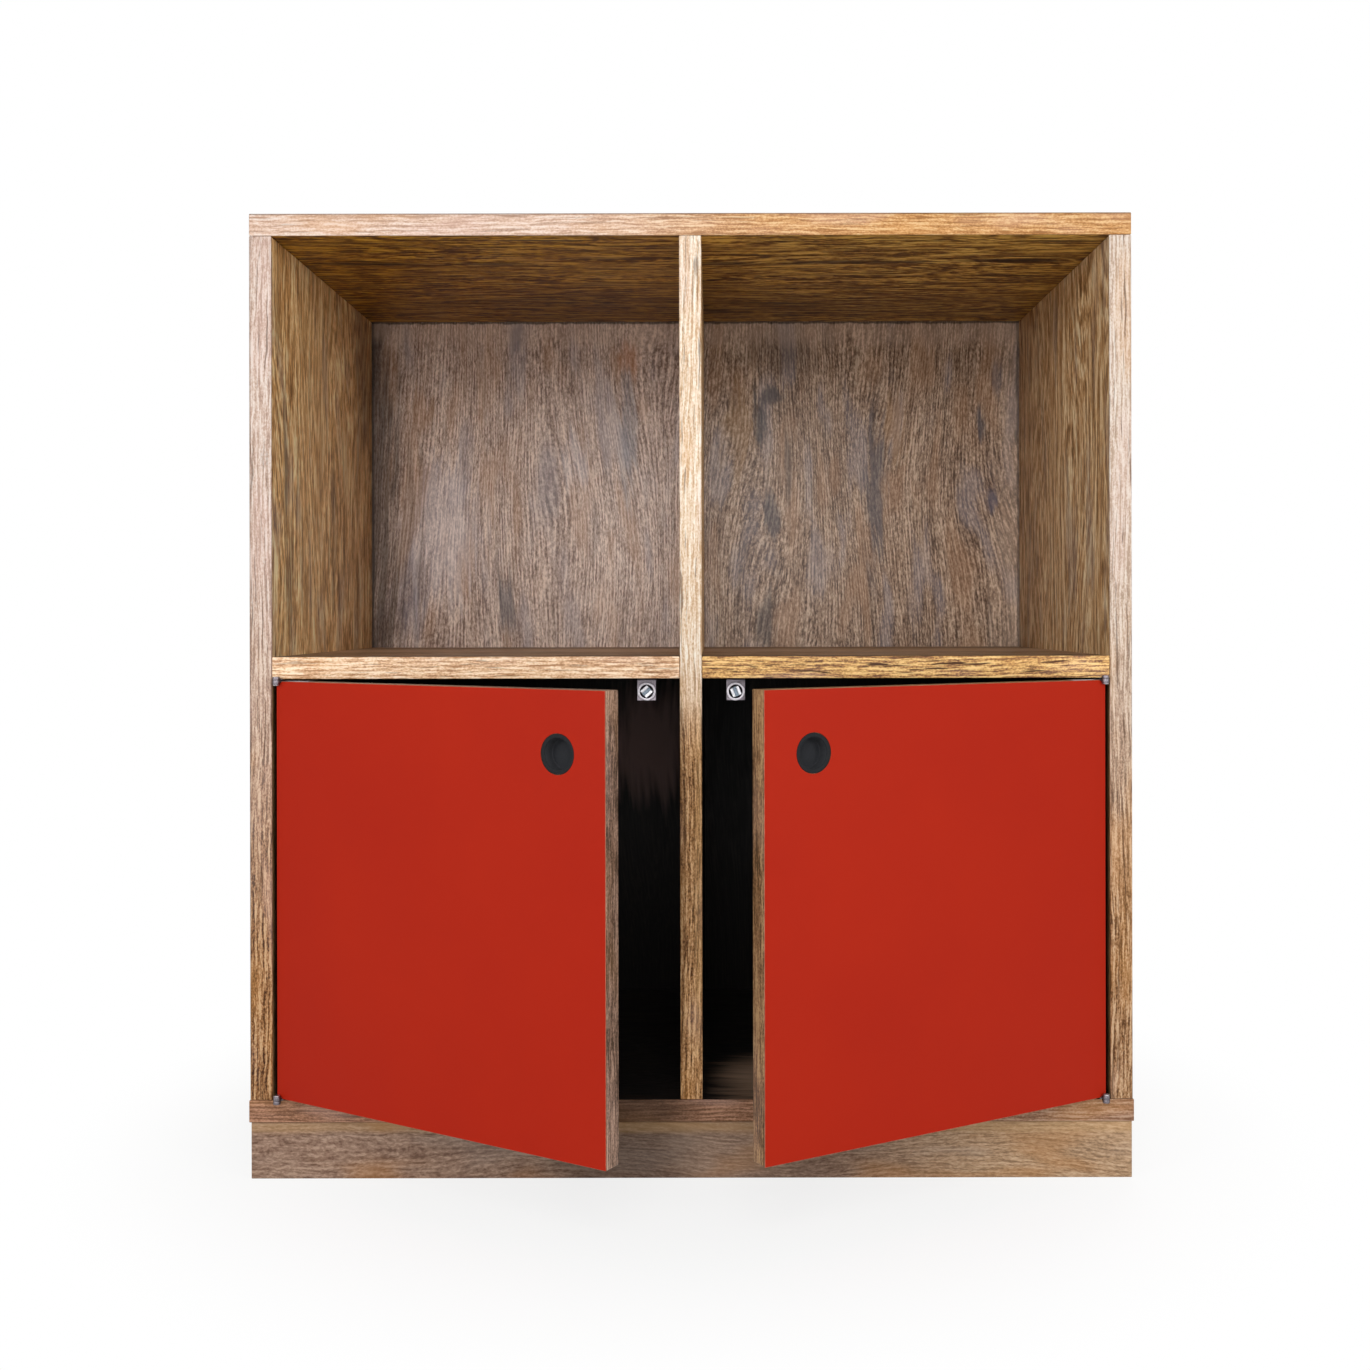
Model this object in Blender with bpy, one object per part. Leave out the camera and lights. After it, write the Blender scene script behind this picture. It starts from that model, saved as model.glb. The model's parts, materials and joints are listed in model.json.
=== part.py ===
"""Cube cabinet on a plinth: two open compartments over two inset doors.

+X is to the right, +Y to the back and +Z up. The origin is at floor level, in the middle
of the cabinet's footprint, on the underside of the plinth's middle bearer.
"""

import math

import bmesh
import bpy
from mathutils import Matrix, Vector

mm = 0.001

# Carcass boards
carcass_width = 800 * mm
carcass_depth = 430 * mm
board_thickness = 20 * mm
upper_clear_height = 382 * mm
lower_clear_height = 382 * mm
bottom_overhang = 1.2 * mm
eased_edge = 0.5 * mm
fitting_edge = 0.3 * mm
joint_gap = 0.3 * mm

# Back panel, let into a rebate
back_thickness = 8 * mm
back_rebate = 10 * mm

# Plinth
plinth_height = 52 * mm
plinth_rail = 18 * mm
plinth_setback = 3 * mm

# Doors, shown part open
door_thickness = 18 * mm
laminate_thickness = 0.9 * mm
laminate_ease = 0.2 * mm
door_hinge_gap = 1.8 * mm
door_free_gap = 3.2 * mm
door_end_gap = 2 * mm
left_open_angle = 31.5
right_open_angle = 30.2

# Finger cups
finger_cup_radius = 16.4 * mm
finger_cup_body_radius = 14 * mm
finger_cup_depth = 12 * mm
finger_cup_wall = 1.2 * mm
finger_cup_round = 0.6 * mm
finger_cup_from_edge = 47.2 * mm
finger_cup_from_top = 52 * mm

# Corner pivot hinges
pivot_from_side = 5 * mm
pivot_proud = 3.6 * mm
barrel_radius = 3.2 * mm
carcass_barrel_length = 3 * mm
door_barrel_length = 3.6 * mm
pin_radius = 1.4 * mm
pin_head_radius = 2.9 * mm
pin_head_height = 0.9 * mm
pin_crown_radius = 2 * mm
leaf_thickness = 1.5 * mm
leaf_let_in = 1 * mm
leaf_width = 9 * mm
leaf_length = 34 * mm
leaf_neck = 5 * mm
leaf_setback = 1 * mm
leaf_screw_margin = 6 * mm

# Countersunk wood screws
screw_length = 12 * mm
screw_radius = 1.3 * mm
screw_head_radius = 2.3 * mm
screw_head_height = 1.2 * mm
screw_slot_width = 0.5 * mm
screw_slot_depth = 0.4 * mm
screw_sink = 0.1 * mm

# Magnetic catches
catch_from_divider = 31 * mm
catch_drop = 12.9 * mm
bracket_width = 17 * mm
bracket_drop = 21 * mm
bracket_leg = 22 * mm
bracket_thickness = 1.5 * mm
bracket_bend = 2.2 * mm
catch_ring_radius = 8.4 * mm
catch_ring_thickness = 1.2 * mm
catch_cup_radius = 7.3 * mm
catch_cup_wall = 0.7 * mm
catch_cup_base = 1.2 * mm
insert_size = 8.8 * mm
insert_depth = 7 * mm
insert_proud = 0.5 * mm
pole_thickness = 2.7 * mm
yoke_web = 1.4 * mm
yoke_stub_radius = 1.5 * mm
yoke_rivet_radius = 2.4 * mm
yoke_rivet_height = 0.7 * mm
left_insert_turn = 48.0
right_insert_turn = -22.0

# Strike plates on the backs of the doors
strike_width = 26 * mm
strike_height = 16 * mm
strike_thickness = 1.2 * mm
strike_spike_radius = 0.8 * mm
strike_spike_length = 5 * mm
strike_spike_point = 2 * mm
strike_spike_spacing = 19 * mm
strike_gap = 0.4 * mm

# Clearance of a pin or a screw in its own hole
running_gap = 0.15 * mm

# How far a cutter runs past the face that it opens
overcut = 1 * mm

# Sides of the round pieces
fine_sides = 28
small_sides = 16
screw_sides = 10
bend_sides = 4

# Levels and planes that follow from the sizes above
front = -carcass_depth / 2
back = carcass_depth / 2
inner_face = carcass_width / 2 - board_thickness
clear_width = inner_face - board_thickness / 2
bottom_low = plinth_height
bottom_top = bottom_low + board_thickness
shelf_low = bottom_top + lower_clear_height
shelf_top = shelf_low + board_thickness
top_low = shelf_top + upper_clear_height
top_high = top_low + board_thickness
panel_front = back - back_thickness
door_width = clear_width - door_hinge_gap - door_free_gap
door_low = bottom_top + door_end_gap
door_high = shelf_low - door_end_gap
catch_along = clear_width - catch_from_divider
catch_level = shelf_low - catch_drop
strike_back = door_thickness + joint_gap + strike_thickness
insert_front = strike_back + strike_gap
ring_front = insert_front + insert_proud
bracket_front = ring_front + catch_ring_thickness + joint_gap


def add_material(name, colour, roughness, metallic=0.0):
    """Principled material; the colour is sRGB, 0 to 255."""
    material = bpy.data.materials.new(name)
    material.use_nodes = True
    shader = material.node_tree.nodes['Principled BSDF']
    linear = [((c / 255 + 0.055) / 1.055) ** 2.4 for c in colour]
    shader.inputs['Base Color'].default_value = (*linear, 1)
    shader.inputs['Roughness'].default_value = roughness
    shader.inputs['Metallic'].default_value = metallic
    return material


def add_object(name, bm, origin, material, parent):
    """Object whose mesh was built in world axes, with its origin at the given point."""
    bmesh.ops.translate(bm, verts=bm.verts, vec=-origin)
    bmesh.ops.recalc_face_normals(bm, faces=bm.faces)
    mesh = bpy.data.meshes.new(name)
    bm.to_mesh(mesh)
    bm.free()
    obj = bpy.data.objects.new(name, mesh)
    bpy.context.scene.collection.objects.link(obj)
    obj.location = origin
    if parent:
        obj.parent = parent
        obj.location = origin - parent.location
    if material:
        mesh.materials.append(material)
    else:
        obj.hide_render = True
        obj.display_type = 'WIRE'
    return obj


def smooth_round(obj):
    """Smooth shading that keeps the corners of a round piece sharp."""
    obj.data.shade_smooth()
    obj.data.set_sharp_from_angle(angle=math.radians(35))


def block(name, low, high, material=None, parent=None, ease=0.0):
    """Box between two corners; without a material it is a cutter."""
    low, high = Vector(map(min, low, high)), Vector(map(max, low, high))
    size = high - low
    centre = (low + high) / 2
    bm = bmesh.new()
    bmesh.ops.create_cube(bm, size=1, matrix=Matrix.Translation(centre) @ Matrix.Diagonal((*size, 1)))
    obj = add_object(name, bm, centre, material, parent)
    if ease:
        bevel = obj.modifiers.new('eased edges', 'BEVEL')
        bevel.width = ease
        bevel.segments = 1
    return obj


def turned(name, profile, centre, direction, sides, material=None, parent=None):
    """Solid turned from (radius, distance along the direction) points; a cutter without a material."""
    bm = bmesh.new()
    points = [bm.verts.new((radius, 0, along)) for radius, along in profile]
    edges = [bm.edges.new(pair) for pair in zip(points, points[1:])]
    if min(radius for radius, along in profile) > 0:
        edges.append(bm.edges.new((points[-1], points[0])))
    bmesh.ops.spin(bm, geom=points + edges, cent=(0, 0, 0), axis=(0, 0, 1),
                   angle=math.tau, steps=sides, use_merge=True)
    bmesh.ops.remove_doubles(bm, verts=bm.verts, dist=1e-6)
    turn = Vector((0, 0, 1)).rotation_difference(Vector(direction)).to_matrix().to_4x4()
    bmesh.ops.transform(bm, verts=bm.verts, matrix=Matrix.Translation(centre) @ turn)
    obj = add_object(name, bm, Vector(centre), material, parent)
    smooth_round(obj)
    return obj


def prism(name, outline, thickness, origin, material=None, parent=None):
    """Outline of world points, extruded by the vector thickness."""
    bm = bmesh.new()
    face = bm.faces.new([bm.verts.new(point) for point in outline])
    grown = bmesh.ops.extrude_face_region(bm, geom=[face])
    moved = [item for item in grown['geom'] if isinstance(item, bmesh.types.BMVert)]
    bmesh.ops.translate(bm, verts=moved, vec=thickness)
    return add_object(name, bm, Vector(origin), material, parent)


def combine(target, tool, operation='DIFFERENCE'):
    """Cut the tool from the target, or join it on, as a live modifier."""
    step = target.modifiers.new(tool.name, 'BOOLEAN')
    step.object = tool
    step.operation = operation


def cabinet_point(side, along, depth, level):
    """Point given from the side's inner face, the front plane and the floor; side is -1 or 1."""
    return Vector((side * (inner_face - along), front + depth, level))


def add_pivot(name, location):
    """Empty on a joint's axis, which carries the moving pieces."""
    pivot = bpy.data.objects.new(name, None)
    bpy.context.scene.collection.objects.link(pivot)
    pivot.location = location
    return pivot


def add_screw(name, head, direction, parent, cut_pieces):
    """Countersunk slotted screw, and its hole in every piece that it passes through."""
    profile = [(0, screw_sink), (screw_head_radius, screw_sink),
               (screw_radius, screw_sink + screw_head_height),
               (screw_radius, screw_length - 2 * screw_radius), (0, screw_length)]
    screw = turned(name, profile, head, direction, screw_sides, steel, parent)
    slot_half = Vector((screw_head_radius + overcut, screw_slot_width / 2, screw_sink + screw_slot_depth))
    slot = block(name + '.slot', head - slot_half, head + slot_half, parent=parent)
    combine(screw, slot)
    head_bore = screw_head_radius + running_gap
    shank_bore = screw_radius + joint_gap
    bore = [(0, -overcut), (head_bore, -overcut), (head_bore, screw_sink),
            (shank_bore, screw_sink + screw_head_height),
            (shank_bore, screw_length + joint_gap), (0, screw_length + joint_gap)]
    hole = turned(name + '.hole', bore, head, direction, screw_sides, parent=parent)
    for piece in cut_pieces:
        combine(piece, hole)


def add_carcass():
    """The boards, the back panel and the plinth; returns the boards that carry hardware."""
    half = carcass_width / 2
    pocket_half = inner_face + back_rebate
    pocket = block('back_pocket', (-pocket_half, panel_front - joint_gap, bottom_top - back_rebate),
                   (pocket_half, back + overcut, top_low + back_rebate))
    upright_low = bottom_top + joint_gap
    upright_high = top_low - joint_gap

    bottom_half = half + bottom_overhang
    bottom = block('bottom_board', (-bottom_half, front, bottom_low), (bottom_half, back, bottom_top),
                   wood_lying, ease=eased_edge)
    top = block('top_board', (-half, front, top_low), (half, back, top_high), wood_lying, ease=eased_edge)
    combine(bottom, pocket)
    combine(top, pocket)

    shelves = {}
    inner_back = panel_front - joint_gap
    for side, label in ((-1, 'left'), (1, 'right')):
        upright = block(label + '_side', (side * half, front, upright_low),
                        (side * inner_face, back, upright_high), wood_standing, ease=eased_edge)
        combine(upright, pocket)
        shelf_ends = (inner_face - joint_gap, board_thickness / 2 + joint_gap)
        shelves[side] = block(label + '_shelf', (side * shelf_ends[0], front, shelf_low),
                              (side * shelf_ends[1], inner_back, shelf_top), wood_lying, ease=eased_edge)
    block('divider', (-board_thickness / 2, front, upright_low),
          (board_thickness / 2, inner_back, upright_high), wood_standing, ease=eased_edge)

    panel_half = pocket_half - joint_gap
    block('back_panel', (-panel_half, panel_front, bottom_top - back_rebate + joint_gap),
          (panel_half, back, top_low + back_rebate - joint_gap), wood_panel, ease=eased_edge)
    add_plinth(half)
    return bottom, shelves


def add_plinth(half):
    """Front and back rails over the full width, with two end rails and a bearer between them."""
    rail_top = plinth_height - joint_gap
    rail_front = front + plinth_setback
    rail_back = back - plinth_rail
    block('plinth_front', (-half, rail_front, 0), (half, rail_front + plinth_rail, rail_top),
          wood_plinth, ease=eased_edge)
    block('plinth_back', (-half, rail_back, 0), (half, back, rail_top), wood_plinth, ease=eased_edge)
    cross_front = rail_front + plinth_rail + joint_gap
    cross_back = rail_back - joint_gap
    crosses = {'plinth_left': (-half, plinth_rail - half), 'plinth_right': (half - plinth_rail, half),
               'plinth_bearer': (-plinth_rail / 2, plinth_rail / 2)}
    for name, (low, high) in crosses.items():
        block(name, (low, cross_front, 0), (high, cross_back, rail_top), wood_plinth, ease=eased_edge)


def carcass_leaf():
    """Neck and plate of the leaf on the carcass, each as low and high along, low and high depth."""
    half_neck = leaf_neck / 2
    half_width = leaf_width / 2
    neck = (pivot_from_side - half_neck, pivot_from_side + half_neck, -pivot_proud, leaf_setback)
    plate = (pivot_from_side - half_width, pivot_from_side + half_width,
             leaf_setback, leaf_setback + leaf_length)
    return neck, plate


def door_leaf():
    """Neck and plate of the leaf on the door's edge; the plate lies along the door."""
    start = pivot_from_side - leaf_neck / 2
    middle = (laminate_thickness + joint_gap + door_thickness) / 2
    plate_front = middle - leaf_width / 2
    neck = (start, start + leaf_neck, -pivot_proud, plate_front)
    plate = (start, start + leaf_length, plate_front, plate_front + leaf_width)
    return neck, plate


def leaf_outline(neck, plate):
    """Corners round the neck and the plate together, as (along, depth) points."""
    neck_start, neck_stop, neck_front, plate_front = neck
    start, stop, plate_front, rear = plate
    corners = [(neck_start, neck_front), (neck_stop, neck_front), (neck_stop, plate_front),
               (stop, plate_front), (stop, rear), (start, rear), (start, plate_front),
               (neck_start, plate_front)]
    return list(dict.fromkeys(corners))


def leaf_screw_places(plate):
    """Places of the two screws on the long middle line of a leaf's plate."""
    start, stop, plate_front, rear = plate
    if stop - start > rear - plate_front:
        middle = (plate_front + rear) / 2
        return [(start + leaf_screw_margin, middle), (stop - leaf_screw_margin, middle)]
    middle = (start + stop) / 2
    return [(middle, plate_front + leaf_screw_margin), (middle, rear - leaf_screw_margin)]


def add_leaf(name, shape, side, axis, level, into, barrel_length, parent, seated_in):
    """Leaf with its barrel, two screws, and its seat in the boards; into points into the wood."""
    neck, plate = shape
    inner = level + into.z * leaf_let_in
    points = [cabinet_point(side, along, depth, inner) for along, depth in leaf_outline(neck, plate)]
    leaf = prism(name, points, -into * leaf_thickness, axis, steel, parent)
    barrel_end = running_gap + barrel_length
    barrel = turned(name + '.barrel', cylinder(barrel_radius, running_gap, barrel_end),
                    axis, into, small_sides, parent=parent)
    bore = turned(name + '.bore', cylinder(pin_radius + running_gap, -overcut, barrel_end + overcut),
                  axis, into, small_sides, parent=parent)
    combine(leaf, barrel, 'UNION')
    combine(leaf, bore)

    floor = inner + into.z * joint_gap
    mouth = level - into.z * overcut
    for part, (start, stop, low, high) in (('neck', neck), ('plate', plate)):
        corner = cabinet_point(side, start - joint_gap, low - joint_gap, floor)
        opposite = cabinet_point(side, stop + joint_gap, high + joint_gap, mouth)
        seat = block(name + '.' + part + '_seat', corner, opposite, parent=parent)
        for piece in seated_in:
            combine(piece, seat)

    face = level - into.z * (leaf_thickness - leaf_let_in)
    for number, (along, depth) in enumerate(leaf_screw_places(plate), start=1):
        head = cabinet_point(side, along, depth, face)
        add_screw(name + '_screw_' + str(number), head, into, parent, [leaf, seated_in[0]])


def add_hinge(side, label, end, board, panel, laminate, pivot):
    """One corner hinge; end is 1 at the top of the door and -1 at its bottom."""
    name = label + ('_upper_hinge' if end > 0 else '_lower_hinge')
    up = Vector((0, 0, end))
    board_level = shelf_low if end > 0 else bottom_top
    door_level = door_high if end > 0 else door_low
    axis = cabinet_point(side, pivot_from_side, -pivot_proud, (board_level + door_level) / 2)
    add_leaf(name + '_carcass_leaf', carcass_leaf(), side, axis, board_level, up,
             carcass_barrel_length, None, [board])
    add_leaf(name + '_door_leaf', door_leaf(), side, axis, door_level, -up,
             door_barrel_length, pivot, [panel, laminate])

    head_low = -running_gap * 2 - door_barrel_length
    head_end = head_low - pin_head_height
    shank_end = running_gap + carcass_barrel_length
    pin_profile = [(0, head_end), (pin_crown_radius, head_end),
                   (pin_head_radius, head_low - pin_head_height / 2), (pin_head_radius, head_low),
                   (pin_radius, head_low), (pin_radius, shank_end), (0, shank_end)]
    turned(name + '_pin', pin_profile, axis, up, small_sides, steel)


def cylinder(radius, low, high):
    """Profile of a plain cylinder between two distances along its axis."""
    return [(0, low), (radius, low), (radius, high), (0, high)]


def add_door(side, label, open_angle, bottom, shelf):
    """Door with its laminate, finger cup, strike plate and two hinges, turned open on its pivot."""
    pivot = add_pivot(label + '_door_pivot', cabinet_point(side, pivot_from_side, -pivot_proud, 0))
    edge = door_hinge_gap + door_width
    panel_start = laminate_thickness + joint_gap
    panel = block(label + '_door_panel', cabinet_point(side, door_hinge_gap, panel_start, door_low),
                  cabinet_point(side, edge, door_thickness, door_high), wood_door, pivot, eased_edge)
    laminate = block(label + '_door_laminate', cabinet_point(side, door_hinge_gap, 0, door_low),
                     cabinet_point(side, edge, laminate_thickness, door_high), laminate_red, pivot,
                     laminate_ease)
    add_finger_cup(side, label, edge, panel, laminate, pivot)
    add_strike(side, label, panel, pivot)
    add_hinge(side, label, 1, shelf, panel, laminate, pivot)
    add_hinge(side, label, -1, bottom, panel, laminate, pivot)
    pivot.rotation_euler.z = side * math.radians(open_angle)


def add_finger_cup(side, label, edge, panel, laminate, pivot):
    """Round cup, its flange lying in the laminate and its body in a blind hole in the panel."""
    centre = cabinet_point(side, edge - finger_cup_from_edge, 0, door_high - finger_cup_from_top)
    inner = finger_cup_body_radius - finger_cup_wall
    floor = finger_cup_depth - finger_cup_wall
    soft = finger_cup_round
    profile = [(0, floor), (inner - soft, floor), (inner, floor - soft), (inner, soft), (inner + soft, 0),
               (finger_cup_radius - fitting_edge, 0), (finger_cup_radius, fitting_edge),
               (finger_cup_radius, laminate_thickness), (finger_cup_body_radius, laminate_thickness),
               (finger_cup_body_radius, finger_cup_depth), (0, finger_cup_depth)]
    inward = (0, 1, 0)
    turned(label + '_finger_cup', profile, centre, inward, fine_sides, cup_black, pivot)
    window_profile = cylinder(finger_cup_radius + joint_gap, -overcut, laminate_thickness + overcut)
    window = turned(label + '_finger_cup.window', window_profile, centre, inward,
                    fine_sides, parent=pivot)
    hole_profile = cylinder(finger_cup_body_radius + joint_gap, -overcut, finger_cup_depth + joint_gap)
    hole = turned(label + '_finger_cup.hole', hole_profile, centre, inward, fine_sides, parent=pivot)
    combine(laminate, window)
    combine(panel, hole)


def add_strike(side, label, panel, pivot):
    """Steel plate on the back of the door, held by two spikes pressed into it."""
    name = label + '_strike_plate'
    half_width = strike_width / 2
    half_height = strike_height / 2
    plate_start = door_thickness + joint_gap
    low = cabinet_point(side, catch_along - half_width, plate_start, catch_level - half_height)
    high = cabinet_point(side, catch_along + half_width, strike_back, catch_level + half_height)
    strike = block(name, low, high, steel, pivot, fitting_edge)
    for number, shift in enumerate((-strike_spike_spacing / 2, strike_spike_spacing / 2), start=1):
        root = cabinet_point(side, catch_along + shift, plate_start + strike_thickness / 2, catch_level)
        reach = strike_thickness / 2 + joint_gap + strike_spike_length
        spike_profile = [(0, 0), (strike_spike_radius, 0),
                         (strike_spike_radius, reach - strike_spike_point), (0, reach)]
        outward = (0, -1, 0)
        spike = turned(name + '.spike' + str(number), spike_profile, root, outward,
                       screw_sides, parent=pivot)
        hole_profile = cylinder(strike_spike_radius + joint_gap, 0, reach + joint_gap)
        hole = turned(name + '.hole' + str(number), hole_profile, root, outward,
                      screw_sides, parent=pivot)
        combine(strike, spike, 'UNION')
        combine(panel, hole)


def add_catch(side, label, turn, shelf):
    """Bracket under the shelf, a cup in it, and a magnet between the legs of a turning yoke."""
    name = label + '_catch'
    half = bracket_width / 2
    leg_level = shelf_low - joint_gap
    profile = bracket_outline(leg_level)
    start = cabinet_point(side, catch_along + half, 0, 0).x
    across = Vector((side * bracket_width, 0, 0))
    points = [Vector((start, front + depth, level)) for depth, level in profile]
    centre = cabinet_point(side, catch_along, ring_front, catch_level)
    bracket = prism(name + '_bracket', points, across, centre, steel)

    bore_radius = catch_cup_radius - catch_cup_wall
    floor = insert_depth - insert_proud + joint_gap
    base = floor + catch_cup_base
    stub_bore = yoke_stub_radius + joint_gap
    cup_profile = [(bore_radius, 0), (catch_ring_radius - fitting_edge, 0),
                   (catch_ring_radius, fitting_edge), (catch_ring_radius, catch_ring_thickness),
                   (catch_cup_radius, catch_ring_thickness), (catch_cup_radius, base),
                   (stub_bore, base), (stub_bore, floor), (bore_radius, floor)]
    inward = (0, 1, 0)
    turned(name + '_cup', cup_profile, centre, inward, fine_sides, steel)
    hole = turned(name + '.hole', cylinder(catch_cup_radius + joint_gap, 0, bracket_leg / 2),
                  centre, inward, fine_sides)
    combine(bracket, hole)
    add_insert(side, name, turn, floor)

    leg_middle = bracket_front + (bracket_leg + bracket_thickness) / 2
    head = cabinet_point(side, catch_along, leg_middle, leg_level - bracket_thickness)
    add_screw(name + '_screw', head, Vector((0, 0, 1)), None, [bracket, shelf])


def bracket_outline(leg_level):
    """L of the bracket as (depth, level) points, rounded outside its bend."""
    outer_depth = bracket_front
    inner_depth = bracket_front + bracket_thickness
    arc = []
    for step in range(bend_sides + 1):
        angle = math.pi / 2 * step / bend_sides
        arc.append((outer_depth + bracket_bend * (1 - math.cos(angle)),
                    leg_level - bracket_bend * (1 - math.sin(angle))))
    low = shelf_low - bracket_drop
    rear = bracket_front + bracket_leg
    return [(outer_depth, low)] + arc + [(rear, leg_level), (rear, leg_level - bracket_thickness),
                                         (inner_depth, leg_level - bracket_thickness), (inner_depth, low)]


def add_insert(side, name, turn, floor):
    """Yoke with its riveted stub, and the magnet in its slot, turned in the cup."""
    middle = cabinet_point(side, catch_along, insert_front, catch_level)
    pivot = add_pivot(name + '_pivot', middle)
    half = insert_size / 2
    low = middle - Vector((half, 0, half))
    high = middle + Vector((half, insert_depth, half))
    yoke = block(name + '_yoke', low, high, steel, pivot, eased_edge)
    slot_half = half - pole_thickness
    slot_end = insert_depth - yoke_web
    slot = block(name + '_yoke.slot', middle + Vector((-slot_half, -overcut, -half - overcut)),
                 middle + Vector((slot_half, slot_end, half + overcut)), parent=pivot)
    combine(yoke, slot)
    stub_start = insert_depth - yoke_web / 2
    rivet_low = insert_proud + floor + catch_cup_base + joint_gap
    rivet_high = rivet_low + yoke_rivet_height
    stub_profile = [(0, stub_start), (yoke_stub_radius, stub_start), (yoke_stub_radius, rivet_low),
                    (yoke_rivet_radius, rivet_low), (yoke_rivet_radius, rivet_high - fitting_edge),
                    (yoke_stub_radius, rivet_high), (0, rivet_high)]
    stub = turned(name + '_yoke.stub', stub_profile, middle, (0, 1, 0), small_sides, parent=pivot)
    combine(yoke, stub, 'UNION')
    magnet_half = slot_half - running_gap
    low = middle + Vector((-magnet_half, running_gap, -half))
    high = middle + Vector((magnet_half, slot_end - joint_gap, half))
    block(name + '_magnet', low, high, ferrite, pivot, running_gap)
    pivot.rotation_euler.y = math.radians(turn)


for old in list(bpy.data.objects):
    bpy.data.objects.remove(old)

wood_lying = add_material('dark oak, grain lying', (201, 158, 108), 0.5)
wood_standing = add_material('dark oak, grain standing', (190, 148, 108), 0.5)
wood_panel = add_material('dark oak back panel', (118, 94, 80), 0.45)
wood_plinth = add_material('dark oak plinth', (147, 121, 106), 0.6)
wood_door = add_material('dark oak door edge', (120, 96, 80), 0.55)
laminate_red = add_material('red laminate', (175, 43, 28), 0.4)
cup_black = add_material('black plastic', (43, 44, 45), 0.45)
steel = add_material('bright zinc-plated steel', (190, 190, 196), 0.3, 1.0)
ferrite = add_material('ferrite magnet', (88, 98, 112), 0.6)

bottom_board, shelf_boards = add_carcass()
add_door(-1, 'left', left_open_angle, bottom_board, shelf_boards[-1])
add_door(1, 'right', right_open_angle, bottom_board, shelf_boards[1])
add_catch(-1, 'left', left_insert_turn, shelf_boards[-1])
add_catch(1, 'right', right_insert_turn, shelf_boards[1])
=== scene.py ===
# Cube credenza with two red inset doors: the finish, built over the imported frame.
import json
import math

import bmesh
import bpy
from mathutils import Matrix, Vector

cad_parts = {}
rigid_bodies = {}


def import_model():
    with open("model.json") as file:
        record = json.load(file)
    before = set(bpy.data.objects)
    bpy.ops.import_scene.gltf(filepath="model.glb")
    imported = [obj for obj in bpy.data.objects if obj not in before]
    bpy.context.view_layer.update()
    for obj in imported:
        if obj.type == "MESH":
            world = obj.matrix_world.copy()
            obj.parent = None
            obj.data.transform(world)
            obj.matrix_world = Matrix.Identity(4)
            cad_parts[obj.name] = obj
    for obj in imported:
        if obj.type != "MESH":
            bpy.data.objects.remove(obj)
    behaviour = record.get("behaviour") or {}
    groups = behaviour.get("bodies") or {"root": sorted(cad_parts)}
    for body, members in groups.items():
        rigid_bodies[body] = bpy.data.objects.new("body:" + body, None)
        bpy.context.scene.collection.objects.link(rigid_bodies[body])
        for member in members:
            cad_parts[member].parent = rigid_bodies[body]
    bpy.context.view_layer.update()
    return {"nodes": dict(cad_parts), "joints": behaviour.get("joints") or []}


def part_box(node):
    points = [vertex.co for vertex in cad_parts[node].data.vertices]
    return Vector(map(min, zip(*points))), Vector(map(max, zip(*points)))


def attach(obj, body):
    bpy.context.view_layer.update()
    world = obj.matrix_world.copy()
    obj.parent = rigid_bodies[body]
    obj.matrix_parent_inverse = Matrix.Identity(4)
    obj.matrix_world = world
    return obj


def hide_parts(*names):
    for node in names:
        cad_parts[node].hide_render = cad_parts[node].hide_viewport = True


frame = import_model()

mm = 0.001
mergeDistance = 1e-6            # metres; points nearer to each other than this are made one
smoothUnder = math.radians(35)  # edges bent less than this are shaded smooth
squareTo = 0.9                  # share of a face's normal along an axis, from which it looks that way
noiseCore = (0.35, 0.65)        # half of a noise's values and more lie between these
noiseSpread = (0.3, 0.7)        # and nearly all of them between these
print("frame loaded:", len(frame["nodes"]), "nodes")


# Camera, floor and light

cameraView = {
    "place": (0.0204, -1.6441, 0.5112),
    "roll": 0.104,              # degrees; the photograph leans by this much
    "lens": 41.426,
    "sensor": 36.0,             # mm
    "shift": (-0.0206, -0.0509),
}

studio = {
    "ambient": 0.14,            # world strength for all rays but the camera's and mirrors'
    # each lamp: place, what it aims at, size in metres, power in watts
    "lamps": {
        "key softbox": ((0.0, -2.0, 1.5), (0.0, 0.0, 0.6), 0.9, 14.0),
        "front fill": ((-0.15, -3.0, 0.85), (0.0, 0.0, 0.5), 1.5, 24.0),
        "left side fill": ((-1.9, -1.9, 1.0), (0.0, 0.0, 0.55), 1.0, 22.0),
        "right side fill": ((1.9, -1.9, 1.0), (0.0, 0.0, 0.55), 1.0, 23.0),
        "back fill": ((0.9, 2.4, 2.2), (0.0, 0.0, 0.4), 1.6, 45.0),
    },
    "floorColour": "#f4f4f2",
    "floorSize": 9.0,
    "floorWhite": 0.8,          # share of plain white in the floor as the camera sees it
    "shadowReach": (0.3, 0.65),  # metres from the middle, over which the floor turns to plain white
}


def linear(hexColour):  # sRGB hex to the linear values that shader sockets take
    channels = [int(hexColour[i:i + 2], 16) / 255 for i in (1, 3, 5)]
    curved = [c / 12.92 if c <= 0.04045 else ((c + 0.055) / 1.055) ** 2.4 for c in channels]
    return (*curved, 1.0)


def addNode(tree, kind, settings=None, links=None):  # a capital or a number names a socket
    node = tree.nodes.new(kind)
    for key, value in (settings or {}).items():
        if isinstance(key, int) or key[0].isupper():
            node.inputs[key].default_value = value
        else:
            setattr(node, key, value)
    for key, source in (links or {}).items():
        tree.links.new(source, node.inputs[key])
    return node


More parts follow.
